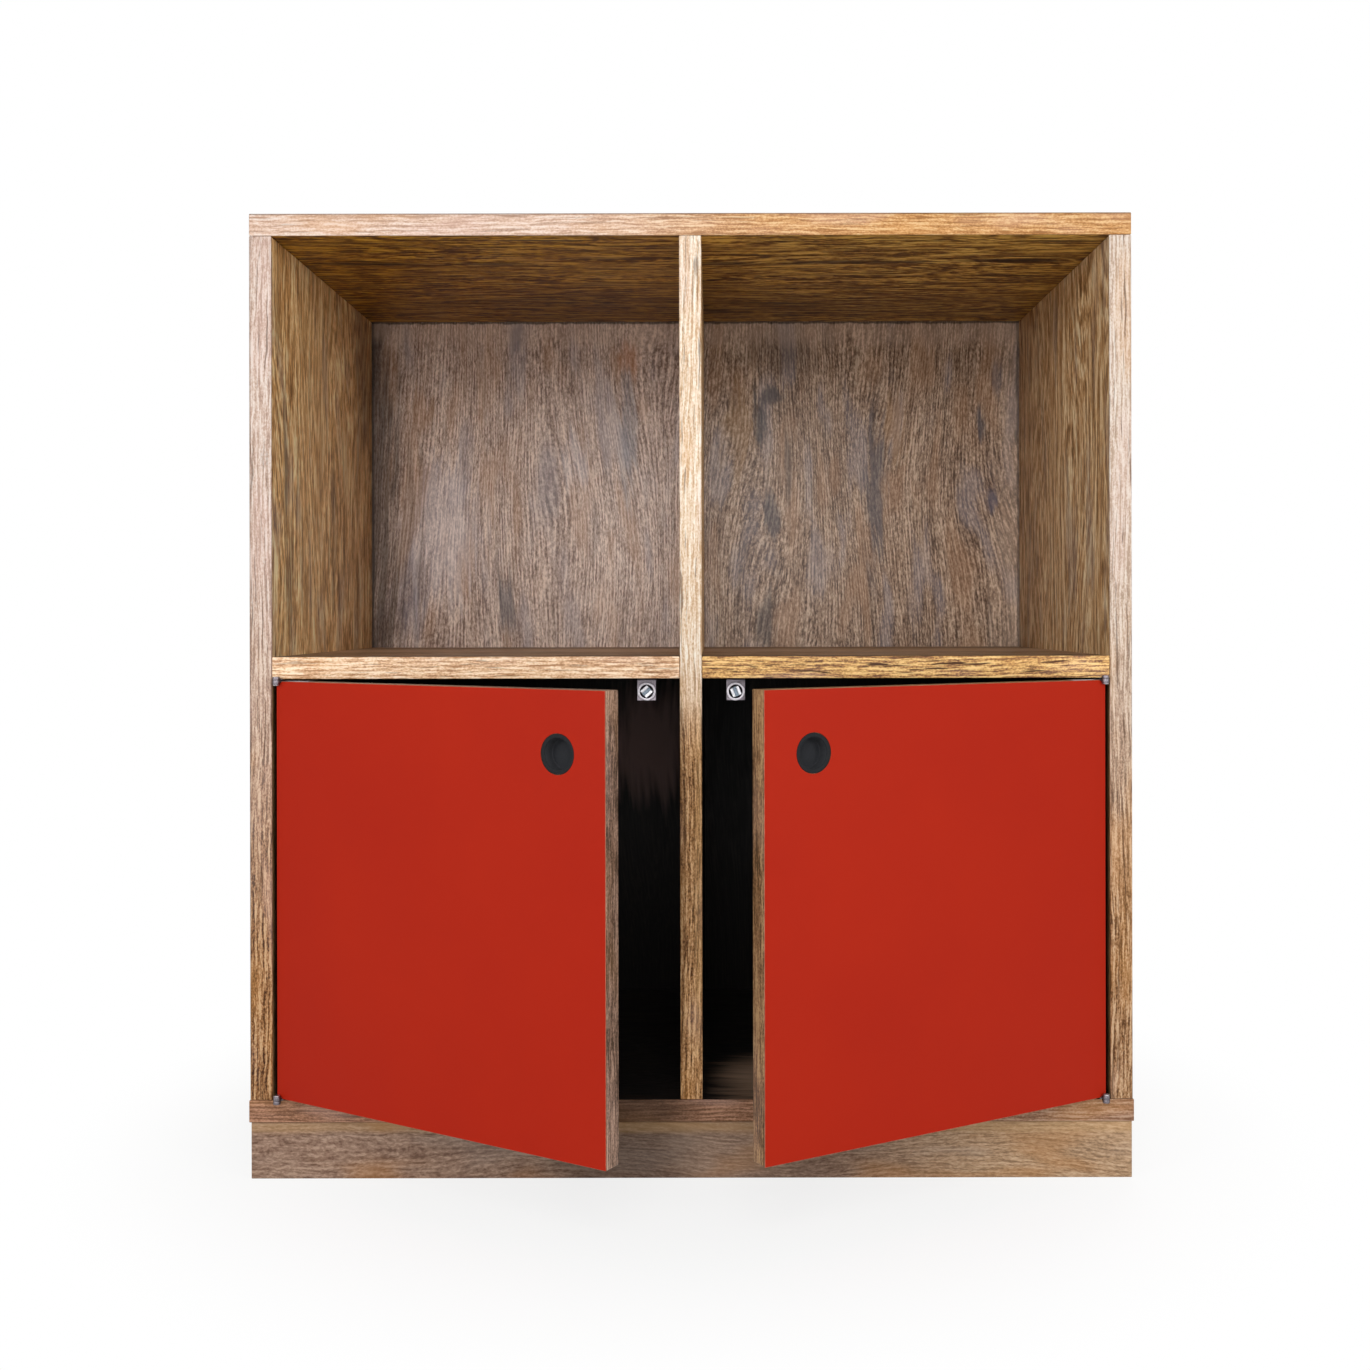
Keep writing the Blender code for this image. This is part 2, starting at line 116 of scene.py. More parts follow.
def startFinish(name, settings):  # an empty material with its shader; settings name its sockets
    finish = bpy.data.materials.new(name)
    finish.use_nodes = True
    tree = finish.node_tree
    tree.nodes.clear()
    shader = addNode(tree, "ShaderNodeBsdfPrincipled", settings)
    addNode(tree, "ShaderNodeOutputMaterial", None, {"Surface": shader.outputs["BSDF"]})
    return finish, tree, shader


def setRamp(node, positions, tones):
    elements = node.color_ramp.elements
    while len(elements) < len(tones):
        elements.new(0.5)
    for element, position, tone in zip(elements, positions, tones):
        element.position = position
        element.color = linear(tone)


def aim(thing, target):
    thing.rotation_euler = (Vector(target) - thing.location).to_track_quat("-Z", "Y").to_euler()


def addCamera():
    data = bpy.data.cameras.new("camera")
    data.lens = cameraView["lens"]
    data.sensor_width = cameraView["sensor"]
    data.shift_x, data.shift_y = cameraView["shift"]
    camera = bpy.data.objects.new("camera", data)
    bpy.context.scene.collection.objects.link(camera)
    camera.location = cameraView["place"]
    camera.rotation_euler = (math.radians(90), math.radians(cameraView["roll"]), 0)
    bpy.context.scene.camera = camera


def addLamp(name, place, target, size, power):
    data = bpy.data.lights.new(name, "AREA")
    data.shape = "SQUARE"
    data.size = size
    data.energy = power
    lamp = bpy.data.objects.new(name, data)
    bpy.context.scene.collection.objects.link(lamp)
    lamp.location = place
    aim(lamp, target)


def seenDirectly(tree):  # 1 for camera, glossy and transmission rays
    path = addNode(tree, "ShaderNodeLightPath")
    first = addNode(tree, "ShaderNodeMath", {"operation": "MAXIMUM"},
                    {0: path.outputs["Is Camera Ray"], 1: path.outputs["Is Glossy Ray"]})
    return addNode(tree, "ShaderNodeMath", {"operation": "MAXIMUM"},
                   {0: first.outputs[0], 1: path.outputs["Is Transmission Ray"]}).outputs[0]


def addWorld():
    world = bpy.data.worlds.new("white room")
    bpy.context.scene.world = world
    world.use_nodes = True
    tree = world.node_tree
    tree.nodes.clear()
    dim = addNode(tree, "ShaderNodeBackground", {"Color": (1, 1, 1, 1), "Strength": studio["ambient"]})
    bright = addNode(tree, "ShaderNodeBackground", {"Color": (1, 1, 1, 1), "Strength": 1.0})
    mixed = addNode(tree, "ShaderNodeMixShader", None,
                    {0: seenDirectly(tree), 1: dim.outputs[0], 2: bright.outputs[0]})
    addNode(tree, "ShaderNodeOutputWorld", None, {"Surface": mixed.outputs[0]})


def deselectAll():
    for thing in bpy.context.selected_objects:
        thing.select_set(False)


def pickOnly(piece):
    deselectAll()
    piece.select_set(True)
    bpy.context.view_layer.objects.active = piece


def addFloor():
    deselectAll()
    bpy.ops.mesh.primitive_plane_add(size=studio["floorSize"], location=(0, 0, 0))
    floor = bpy.context.object
    floor.name = "floor"
    material = bpy.data.materials.new("matt white floor")
    material.use_nodes = True
    tree = material.node_tree
    tree.nodes.clear()
    coords = addNode(tree, "ShaderNodeTexCoord")
    distance = addNode(tree, "ShaderNodeVectorMath", {"operation": "LENGTH"}, {0: coords.outputs["Object"]})
    near, far = studio["shadowReach"]
    fade = addNode(tree, "ShaderNodeMapRange",
                   {"interpolation_type": "SMOOTHSTEP", "From Min": near, "From Max": far},
                   {"Value": distance.outputs["Value"]})
    matt = addNode(tree, "ShaderNodeBsdfDiffuse", {"Color": linear(studio["floorColour"])})
    white = addNode(tree, "ShaderNodeEmission", {"Strength": 1.0})
    nearShade = addNode(tree, "ShaderNodeMixShader", {0: studio["floorWhite"]},
                        {1: matt.outputs[0], 2: white.outputs[0]})
    seen = addNode(tree, "ShaderNodeMixShader", None,
                   {0: fade.outputs[0], 1: nearShade.outputs[0], 2: white.outputs[0]})
    final = addNode(tree, "ShaderNodeMixShader", None,
                    {0: seenDirectly(tree), 1: matt.outputs[0], 2: seen.outputs[0]})
    addNode(tree, "ShaderNodeOutputMaterial", None, {"Surface": final.outputs[0]})
    floor.data.materials.append(material)


bpy.context.scene.view_settings.view_transform = "Standard"
addCamera()
addWorld()
addFloor()
for name, (place, target, size, power) in studio["lamps"].items():
    addLamp(name, place, target, size, power)
print("camera, floor and light set")


# Wood and the other finishes

# sliced oak veneer, stained dark and oiled: its open pores lie in fine combed lines that follow the
# slow arches of the growth rings, and the stain has taken unevenly, in cool and warm patches
oakVeneer = {
    "grain": "z",
    "start": (0, 0, 0),          # mm, which part of the log the leaf is cut from
    "turn": 0.0,                 # degrees about the upright, for a door that stands open
    "tones": ["#5a3f2a", "#7d5f44", "#98795a", "#bd9d7a"],
    "toneSteps": (0.36, 0.45, 0.54, 0.64),
    "lineWidth": 1.6,            # mm, the fibres
    "lineLength": 36.0,          # mm
    "poreWidth": 1.3,            # mm, the short open pores, drawn wider than the real 0.3 to show
    "poreLength": 6.0,           # mm
    "poreDepth": 0.34,
    "ringSpacing": 4.1,          # mm, the lines that run on along the leaf
    "ringDepth": 0.05,
    "bandWidth": 13.0,           # mm, the paler and darker growth bands
    "bandLength": 170.0,         # mm
    "bandShare": 0.30,
    "swings": ((110, 320, 30), (26, 90, 3.0), (9, 36, 0.5)),  # mm across, mm along, mm of swing
    "stainSize": (30, 120),      # mm, the cool and warm patches of the stain
    "cool": "#6f6c78",
    "coolShare": 0.30,
    "coolFrom": (0.52, 0.68),    # values of the noise between which a patch comes in
    "warm": "#a06c34",
    "warmShare": 0.35,
    "warmFrom": (0.48, 0.32),
    "streak": "#2c1c12",
    "streakShare": 0.35,
    "streakWidth": 8.0,          # mm
    "streakLength": 120.0,       # mm
    "streakFrom": (0.58, 0.68),
    "marks": (),                 # marks at given places, stains and, where noted, painted light and shade: see the end of woodFinish
    "markFrom": (1.3, 0.4),      # reaches between which a mark comes in, 1 being its half size
    "ragged": 2.4,               # how torn the outlines of the marks are
    "roughness": (0.42, 0.60),   # in the smooth lines and in the pores
    "relief": 0.00012,           # metres, depth of the open pores
    "bump": 0.6,
    "specular": 0.35,
}

grainTurn = {"x": (0, math.radians(-90), 0), "y": (math.radians(90), 0, 0), "z": (0, 0, 0)}


def woodFinish(name, changes):
    look = dict(oakVeneer, **changes)
    finish, tree, shader = startFinish(name, {"IOR": 1.5, "Specular IOR Level": look["specular"]})
    coords = addNode(tree, "ShaderNodeTexCoord")
    upright = addNode(tree, "ShaderNodeMapping",
                      {"Rotation": (0, 0, math.radians(look["turn"])), "Scale": (1000, 1000, 1000)},
                      {"Vector": coords.outputs["Object"]})
    place = addNode(tree, "ShaderNodeMapping",
                    {"Rotation": grainTurn[look["grain"]], "Location": look["start"]},
                    {"Vector": upright.outputs[0]})

    def patches(width, length, detail, source, roughness=0.55):  # noise stretched along the grain
        stretched = addNode(tree, "ShaderNodeVectorMath",
                            {"operation": "MULTIPLY", 1: (1 / width, 1 / width, 1 / length)}, {0: source})
        return addNode(tree, "ShaderNodeTexNoise", {"Scale": 1.0, "Detail": detail, "Roughness": roughness},
                       {"Vector": stretched.outputs[0]})

    def level(source, low, high):  # goes softly from 0 at low to 1 at high, whichever is the larger
        settings = {"interpolation_type": "SMOOTHSTEP", "From Min": low, "From Max": high}
        if low > high:
            settings = {"interpolation_type": "SMOOTHSTEP", "From Min": high, "From Max": low,
                        "To Min": 1.0, "To Max": 0.0}
        return addNode(tree, "ShaderNodeMapRange", settings, {"Value": source}).outputs[0]

    def times(source, other):
        node = addNode(tree, "ShaderNodeMath", {"operation": "MULTIPLY"}, {0: source})
        if isinstance(other, float):
            node.inputs[1].default_value = other
        else:
            tree.links.new(other, node.inputs[1])
        return node.outputs[0]

    def cover(under, tone, part):
        return addNode(tree, "ShaderNodeMix", {"data_type": "RGBA", 7: linear(tone)},
                       {0: part, 6: under}).outputs[2]

    swung = place.outputs[0]
    for width, length, reach in look["swings"]:
        swing = patches(width, length, 0.0, place.outputs[0])
        centred = addNode(tree, "ShaderNodeVectorMath", {"operation": "SUBTRACT", 1: (0.5, 0.5, 0.5)},
                          {0: swing.outputs["Color"]})
        swung = addNode(tree, "ShaderNodeVectorMath",
                        {"operation": "MULTIPLY_ADD", 1: (2 * reach, 2 * reach, 0)},
                        {0: centred.outputs[0], 2: swung}).outputs[0]

    lines = patches(look["lineWidth"], look["lineLength"], 3.0, swung, 0.6)
    bands = patches(look["bandWidth"], look["bandLength"], 2.5, swung, 0.6)
    figure = addNode(tree, "ShaderNodeMix", {"data_type": "FLOAT", 0: look["bandShare"]},
                     {2: lines.outputs["Fac"], 3: bands.outputs["Fac"]})

    pores = patches(look["poreWidth"], look["poreLength"], 2.0, swung, 0.6)
    turns = addNode(tree, "ShaderNodeVectorMath",
                    {"operation": "DOT_PRODUCT", 1: (2 * math.pi / look["ringSpacing"], 0, 0)}, {0: swung})
    ring = addNode(tree, "ShaderNodeMath", {"operation": "SINE"}, {0: turns.outputs["Value"]})
    figure = addNode(tree, "ShaderNodeMath", {"operation": "MULTIPLY_ADD", 1: look["ringDepth"]},
                     {0: ring.outputs[0], 2: figure.outputs[0]})
    centred = addNode(tree, "ShaderNodeMath", {"operation": "SUBTRACT", 1: 0.5}, {0: pores.outputs["Fac"]})
    figure = addNode(tree, "ShaderNodeMath", {"operation": "MULTIPLY_ADD", 1: look["poreDepth"]},
                     {0: centred.outputs[0], 2: figure.outputs[0]})

    def toned(tones):
        ramp = addNode(tree, "ShaderNodeValToRGB", None, {"Fac": figure.outputs[0]})
        setRamp(ramp, look["toneSteps"], tones)
        return ramp.outputs["Color"]

    colour = toned(look["tones"])
    if "farTones" in look:  # the leaf changes tone along the board, between two places in metres
        axis, first, last = look["change"]
        split = addNode(tree, "ShaderNodeSeparateXYZ", None, {0: upright.outputs[0]})
        part = level(split.outputs[axis], first * 1000, last * 1000)
        colour = addNode(tree, "ShaderNodeMix", {"data_type": "RGBA"},
                         {0: part, 6: colour, 7: toned(look["farTones"])}).outputs[2]
    stain = patches(*look["stainSize"], 1.5, swung)
    heart = patches(look["streakWidth"], look["streakLength"], 2.0, swung)
    for kind, source in (("cool", stain), ("warm", stain), ("streak", heart)):
        part = level(source.outputs["Fac"], *look[kind + "From"])
        colour = cover(colour, look[kind], times(part, look[kind + "Share"]))
    # each mark: its middle in metres, its half sizes in mm with 0 for any, its tone and its share
    for middle, half, tone, share in look["marks"]:
        scale = [1 / size if size else 0 for size in half]
        offset = [-centre * 1000 for centre in middle]
        moved = addNode(tree, "ShaderNodeVectorMath", {"operation": "ADD", 1: offset},
                        {0: upright.outputs[0]})
        oval = addNode(tree, "ShaderNodeVectorMath", {"operation": "MULTIPLY", 1: scale},
                       {0: moved.outputs[0]})
        ragged = addNode(tree, "ShaderNodeVectorMath",
                         {"operation": "MULTIPLY_ADD", 1: [look["ragged"]] * 3},
                         {0: heart.outputs["Color"], 2: oval.outputs[0]})
        centre = [look["ragged"] / 2 if size else 0 for size in half]
        flat = addNode(tree, "ShaderNodeVectorMath",
                       {"operation": "MULTIPLY", 1: [1 if size else 0 for size in half]},
                       {0: ragged.outputs[0]})
        reach = addNode(tree, "ShaderNodeVectorMath", {"operation": "DISTANCE", 1: centre},
                        {0: flat.outputs[0]})
        colour = cover(colour, tone, times(level(reach.outputs["Value"], *look["markFrom"]), share))
    tree.links.new(colour, shader.inputs["Base Color"])

    smooth, rough = look["roughness"]
    sheen = addNode(tree, "ShaderNodeMapRange",
                    {"From Min": noiseCore[0], "From Max": noiseCore[1],
                     "To Min": rough, "To Max": smooth},
                    {"Value": lines.outputs["Fac"]})
    tree.links.new(sheen.outputs[0], shader.inputs["Roughness"])
    bump = addNode(tree, "ShaderNodeBump", {"Strength": look["bump"], "Distance": look["relief"]},
                   {"Height": lines.outputs["Fac"]})
    tree.links.new(bump.outputs[0], shader.inputs["Normal"])
    return finish


# solid oak strips, planed and glued to the fronts of the boards: paler than the veneer, for the stain
# took less, with short dark pores drawn as wide as the veneer's so that they show
oakStrip = {
    "tones": ["#a2774e", "#c0956b", "#d3aa80", "#e6c49f"],
    "toneSteps": (0.38, 0.46, 0.54, 0.62),
    "lineWidth": 1.35,
    "lineLength": 24.0,
    "poreLength": 2.4,
    "poreDepth": 0.44,
    "bandWidth": 5.0,
    "bandShare": 0.24,
    "swings": ((60, 260, 6), (14, 50, 1.0), (6, 16, 0.6)),
    "cool": "#c9a9a0",
    "coolShare": 0.2,
    "warm": "#c98f48",
    "warmShare": 0.2,
    "streak": "#4a2c14",
    "streakShare": 0.30,
    "streakWidth": 2.2,
    "streakLength": 80.0,
    "specular": 0.2,
}


def stripFinish(name, changes):
    return woodFinish(name, dict(oakStrip, **changes))


def spread(tree, noise, limits):  # a noise's values spread between two others
    low, high = noiseSpread
    return addNode(tree, "ShaderNodeMapRange",
                   {"From Min": low, "From Max": high, "To Min": limits[0], "To Max": limits[1]},
                   {"Value": noise}).outputs[0]


# high-pressure laminate, pressed against a satin plate: a flat deep red with a soft sheen
laminate = {
    "tones": ("#9e1e0a", "#a2210b"),
    "cloudScale": 7.0,          # per metre: slow changes of tone, some 140 mm wide
    "roughness": (0.46, 0.56),
    "peelScale": 900.0,         # per metre: the plate's texture, drawn 1.1 mm wide so that it shows
    "relief": 0.00004,          # metres
    "bump": 0.25,
    "specular": 0.09,
}


def redFinish():
    finish, tree, shader = startFinish("red laminate, pressed satin",
                                       {"IOR": 1.5, "Specular IOR Level": laminate["specular"]})
    coords = addNode(tree, "ShaderNodeTexCoord")
    cloud = addNode(tree, "ShaderNodeTexNoise", {"Scale": laminate["cloudScale"], "Detail": 3.0},
                    {"Vector": coords.outputs["Object"]})
    ramp = addNode(tree, "ShaderNodeValToRGB", None, {"Fac": cloud.outputs["Fac"]})
    setRamp(ramp, noiseSpread, laminate["tones"])
    tree.links.new(ramp.outputs["Color"], shader.inputs["Base Color"])
    peel = addNode(tree, "ShaderNodeTexNoise", {"Scale": laminate["peelScale"], "Detail": 2.0},
                   {"Vector": coords.outputs["Object"]})
    rub = spread(tree, cloud.outputs["Fac"], laminate["roughness"])
    tree.links.new(rub, shader.inputs["Roughness"])
    bump = addNode(tree, "ShaderNodeBump",
                   {"Strength": laminate["bump"], "Distance": laminate["relief"]},
                   {"Height": peel.outputs["Fac"]})
    tree.links.new(bump.outputs[0], shader.inputs["Normal"])
    return finish


def plainFinish(name, tones, roughness, grit, relief, settings=None):
    # a speckled surface: two tones over a noise of the given grit in mm, with its relief in metres
    finish, tree, shader = startFinish(name, settings or {})
    coords = addNode(tree, "ShaderNodeTexCoord")
    speck = addNode(tree, "ShaderNodeTexNoise", {"Scale": 1000 / grit, "Detail": 3.0},
                    {"Vector": coords.outputs["Object"]})
    ramp = addNode(tree, "ShaderNodeValToRGB", None, {"Fac": speck.outputs["Fac"]})
    setRamp(ramp, noiseCore, tones)
    tree.links.new(ramp.outputs["Color"], shader.inputs["Base Color"])
    rub = spread(tree, speck.outputs["Fac"], roughness)
    tree.links.new(rub, shader.inputs["Roughness"])
    bump = addNode(tree, "ShaderNodeBump", {"Strength": 0.5, "Distance": relief},
                   {"Height": speck.outputs["Fac"]})
    tree.links.new(bump.outputs[0], shader.inputs["Normal"])
    return finish


redLaminate = redFinish()
# the laminate's paper core, sawn: dull brown, and paler and redder along the face's arris
laminateCore = plainFinish("laminate core, sawn edge", ("#4a2a1c", "#6b4029"), (0.6, 0.8), 2.0, 0.00005)
laminateArris = plainFinish("laminate arris, rubbed", ("#8c5236", "#bf8668"), (0.5, 0.7), 9.0, 0.00003)
# aged hide glue: a thin dark line in every joint
glueLine = plainFinish("glue line, aged", ("#2e1d12", "#4a3220"), (0.6, 0.8), 3.0, 0.00003)
# moulded polystyrene: a smooth rim, and a bowl with a spark-eroded texture that hardly shines; the one
# plastic takes three tones set against the light, the steep wall painted lighter against its shade and the
# rim and bowl darker where the light falls on them
matt = {"Specular IOR Level": 0.1}
blackPlastic = plainFinish("black plastic, smooth rim", ("#191a1c", "#202123"), (0.55, 0.68),
                           1.2, 0.00002, matt)
bowlPlastic = plainFinish("black plastic, textured bowl", ("#232427", "#2c2d30"), (0.7, 0.85),
                          0.7, 0.00005, matt)
wallPaintedLighter = plainFinish("black plastic, textured wall", ("#2e2f32", "#393a3d"), (0.7, 0.85),
                          0.7, 0.00005, matt)
# stamped mild steel with old zinc plate: grey, clouded, with a broken shine
metal = {"Metallic": 1.0}
zincSteel = plainFinish("dull zinc plate on steel", ("#665f64", "#857e84"), (0.36, 0.52),
                        0.8, 0.00002, metal)
# turned steel with nickel plate: a warm white, softly bright
nickelSteel = plainFinish("nickel plate, satin", ("#99949a", "#b9b5b9"), (0.34, 0.48),
                          2.0, 0.00001, metal)
# steel ground flat: the brightest thing on the catches
poleSteel = plainFinish("ground steel pole faces", ("#b4b4b8", "#cfcfd2"), (0.32, 0.44),
                        0.6, 0.00001, metal)
# steel painted black inside the cup's bore: painted shade in the gap round the magnet
boreShadeSteel = plainFinish("blackened steel", ("#1d1b1e", "#343036"), (0.45, 0.6), 0.9, 0.00002,
                         {"Metallic": 0.6})
# pressed and sintered ferrite: a blue-grey stone with a fine grain
ferriteGrey = plainFinish("sintered ferrite", ("#62707f", "#93a1ae"), (0.5, 0.65), 0.7, 0.00003)
# sawn chipboard at the boards' rear ends: rough, speckled with chips
chipboard = plainFinish("chipboard, sawn and stained", ("#5a4029", "#8a6a48"), (0.7, 0.9), 3.5, 0.0003)
print("finishes made")


# Boards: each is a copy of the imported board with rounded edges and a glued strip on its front

board = {
    "stripDepth": 1.6 * mm,
    "glueDepth": 0.2 * mm,
    "easing": 0.16 * mm,        # width of the rounded edges
    "easedEdge": 15 * mm,       # only edges longer than this are rounded,
    "bentEdge": math.radians(20),   # and bent more than this
    "flatEdge": math.radians(0.6),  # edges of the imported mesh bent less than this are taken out
    "tall": 0.5,                # metres; a board taller than this is painted near-black below the shelf, as painted shade
    "rearSkin": 0.6 * mm,       # what lies nearer to the back than this is the sawn rear end
    "reach": 1 * mm,            # what lies nearer to a side's face than this belongs to it
    "stain": (-0.213, -0.196),  # metres back: where the painted near-black shade inside starts and is full
}

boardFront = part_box("top_board")[0].y
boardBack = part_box("top_board")[1].y


def copyNode(node, name):
    piece = bpy.data.objects.new(name, frame["nodes"][node].data.copy())
    piece.data.name = name
    bpy.context.scene.collection.objects.link(piece)
    pickOnly(piece)
    bpy.ops.object.mode_set(mode="EDIT")
    bpy.ops.mesh.select_all(action="SELECT")
    bpy.ops.mesh.customdata_custom_splitnormals_clear()
    bpy.ops.mesh.remove_doubles(threshold=mergeDistance)
    bpy.ops.mesh.dissolve_limited(angle_limit=board["flatEdge"])
    bpy.ops.object.mode_set(mode="OBJECT")
    piece.data.materials.clear()
    return piece


def easeEdges(piece, sizes):  # rounds the edges that are long and bent enough
    bpy.ops.object.mode_set(mode="EDIT")
    bpy.ops.mesh.select_mode(type="EDGE")
    bpy.ops.mesh.select_all(action="DESELECT")
    shape = bmesh.from_edit_mesh(piece.data)
    for edge in shape.edges:
        bent = len(edge.link_faces) == 2 and edge.calc_face_angle() > sizes["bentEdge"]
        edge.select = bent and edge.calc_length() > sizes["easedEdge"]
    bmesh.update_edit_mesh(piece.data)
    bpy.ops.mesh.bevel(offset=sizes["easing"], segments=2, affect="EDGES", clamp_overlap=True)
    bpy.ops.object.mode_set(mode="OBJECT")


def cutAcross(piece, place, normal):  # a loop of edges where the plane meets the piece
    bpy.ops.object.mode_set(mode="EDIT")
    bpy.ops.mesh.select_all(action="SELECT")
    bpy.ops.mesh.bisect(plane_co=place, plane_no=normal, use_fill=False, threshold=1e-7)
    bpy.ops.object.mode_set(mode="OBJECT")


def shadeByAngle(piece):
    pickOnly(piece)
    bpy.ops.object.shade_smooth_by_angle(angle=smoothUnder)


shelfMiddle = (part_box("left_shelf")[0].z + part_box("left_shelf")[1].z) / 2
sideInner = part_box("right_side")[0].x
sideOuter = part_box("right_side")[1].x


def paintedShadeInside(name, grain, start, marks=()):  # behind the doors the wood is painted almost black, painted shade, fading in over the first 2 cm behind the front
    return woodFinish(name, {
        "grain": grain, "start": start, "tones": ["#5f4127", "#87613c", "#a17a50", "#bb9468"],
        "farTones": ["#050403", "#090605", "#0f0a08", "#17110d"], "change": (1, *board["stain"]),
        "coolShare": 0.0, "warmShare": 0.0, "streak": "#080504", "specular": 0.2, "marks": marks,
        "ragged": 1.2})


def makeBoard(node, name, finishes, zone=None):
    # finishes holds one for the face, the strip and the rear, and one for each place that zone names
    piece = copyNode(node, name)
    easeEdges(piece, board)
    seam = boardFront + board["stripDepth"]
    cutAcross(piece, (0, seam, 0), (0, 1, 0))
    cutAcross(piece, (0, seam + board["glueDepth"], 0), (0, 1, 0))
    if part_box(node)[1].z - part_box(node)[0].z > board["tall"]:
        cutAcross(piece, (0, 0, shelfMiddle), (0, 0, 1))
    finishes = dict(finishes, glue=glueLine)
    places = list(finishes)
    for finish in finishes.values():
        piece.data.materials.append(finish)
    for side in piece.data.polygons:
        depth = side.center.y
        where = "face"
        if depth < seam:
            where = "strip"
        elif depth < seam + board["glueDepth"]:
            where = "glue"
        elif depth > boardBack - board["rearSkin"]:
            where = "rear"
        elif zone:
            where = zone(side.center, side.normal)
        side.material_index = places.index(where)
    shadeByAngle(piece)
    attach(piece, "carcass")
    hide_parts(node)


def underside(centre, normal):
    return "under" if normal.z < -squareTo else "face"


def insideFloor(centre, normal):
    return "inside" if normal.z > squareTo and abs(centre.x) < sideInner else "face"


def uprightZone(centre, normal):
    across = abs(normal.x) > squareTo
    if across and abs(centre.x) > sideOuter - board["reach"]:
        return "outside"
    inner = across and abs(centre.x) < sideInner + board["reach"]
    return "inside" if inner and centre.z < shelfMiddle else "face"


topMarks = [  # dark arched streaks along the heart of the leaf
    ((-0.315, -0.100, 0), (62, 9, 0), "#231003", 0.85),
    ((-0.200, -0.098, 0), (46, 7, 0), "#2e1706", 0.7),
    ((-0.080, -0.120, 0), (50, 8, 0), "#3a2008", 0.5),
    ((0.035, -0.100, 0), (34, 11, 0), "#231003", 0.8),
    ((0.160, -0.104, 0), (85, 8, 0), "#2a1405", 0.8),
    ((0.310, -0.110, 0), (62, 9, 0), "#231003", 0.8),
    # the last darkens the whole underside towards the back
    ((0.0, 0.120, 0), (420, 95, 0), "#3f2208", 0.35),
]

paintedLightOnFloor = [  # a painted pool of light, where light falls in between the doors onto the floor inside
    ((0.086, -0.150, 0), (62, 84, 0), "#c09d82", 0.92),
]

makeBoard("top_board", "topBoard", {
    "face": woodFinish("dark oak veneer, top", {"grain": "x", "start": (120, 40, 500)}),
    "under": woodFinish("dark oak veneer, under the top", {  # drawn coarse too, for its low angle
        "grain": "x", "start": (150, 340, 200), "tones": ["#4e2b02", "#84540c", "#a57017", "#ca982c"],
        "farTones": ["#583509", "#956620", "#b98736", "#e2b75a"], "change": (0, -0.2, 0.2),
        "streak": "#2e1a09", "streakShare": 0.9, "streakWidth": 5.0, "coolShare": 0.0,
        "warm": "#8a5a22", "toneSteps": (0.42, 0.47, 0.53, 0.58), "lineWidth": 3.0, "lineLength": 70.0,
        "poreWidth": 2.6, "poreLength": 12.0, "poreDepth": 0.6, "ragged": 1.8,
        "swings": ((60, 300, 22), (16, 90, 3.5)),
        "marks": topMarks}),
    # paler than the lower strips, partly painted light for the light falling from above
    "strip": stripFinish("oak strip, top", {
        "grain": "x", "start": (20, 300, 40), "lineLength": 26.0,
        "tones": ["#a78772", "#bfa18d", "#cbb09e", "#d6c5b9"],
        "farTones": ["#926335", "#b07f4c", "#c0915d", "#d0ad7d"], "change": (0, -0.15, 0.1),
        "ragged": 0.7, "marks": [((0, 0, 0.8757), (0, 0, 1.1), "#4a3426", 0.6)]}),
    "rear": chipboard}, underside)
makeBoard("bottom_board", "bottomBoard", {
    "face": woodFinish("dark oak veneer, bottom", {"grain": "x", "start": (420, 90, 900)}),
    # the floor inside is painted near-black, painted shade, with a painted pool of light on it
    "inside": woodFinish("dark oak veneer, floor inside", {
        "grain": "x", "start": (320, 190, 500), "tones": ["#080504", "#0e0a08", "#15100d", "#1d1613"],
        "coolShare": 0.0, "warmShare": 0.0, "marks": paintedLightOnFloor, "ragged": 1.0}),
    # darker than the top strip, partly painted shade for the light falling off downwards; left of the
    # middle a painted shadow of the left door, and painted light to the right
    "strip": stripFinish("oak strip, bottom", {
        "grain": "x", "start": (80, 10, 700), "tones": ["#64432e", "#815b43", "#946c53", "#ae8369"],
        "farTones": ["#6f4d37", "#88654f", "#9a785f", "#ab8d77"], "change": (0, 0.05, 0.25),
        "ragged": 0.7, "marks": [((-0.055, 0, 0), (62, 0, 0), "#2a1908", 0.7)]}),
    "rear": chipboard}, insideFloor)

shelfMarks = [  # rubbed pale in the middle, dark along the front
    ((0, 0.040, 0), (0, 80, 0), "#dcbc98", 0.45),
    ((0, -0.195, 0), (0, 30, 0), "#2a1a10", 0.6),
]
for label, start, tones, streak in (
        ("left", 700, ["#a77c59", "#cea47f", "#e3c19e", "#f1dabf"], 0.45),
        ("right", 900, ["#6c4a34", "#a87a4c", "#cfa262", "#eac484"], 1.0)):
    makeBoard(label + "_shelf", label + "Shelf", {
        "face": woodFinish("dark oak veneer, %s shelf" % label, {
            "grain": "x", "start": (start, 20, 100), "ragged": 0.7, "marks": shelfMarks}),
        "under": paintedShadeInside("black-brown stain, under the %s shelf" % label, "x", (start, 70, 300)),
        "strip": stripFinish("oak strip, %s shelf" % label, {
            "grain": "x", "start": (start, 70, 60), "tones": tones, "lineLength": 20.0,
            "streakLength": 36.0, "streakShare": streak}),
        "rear": chipboard}, underside)

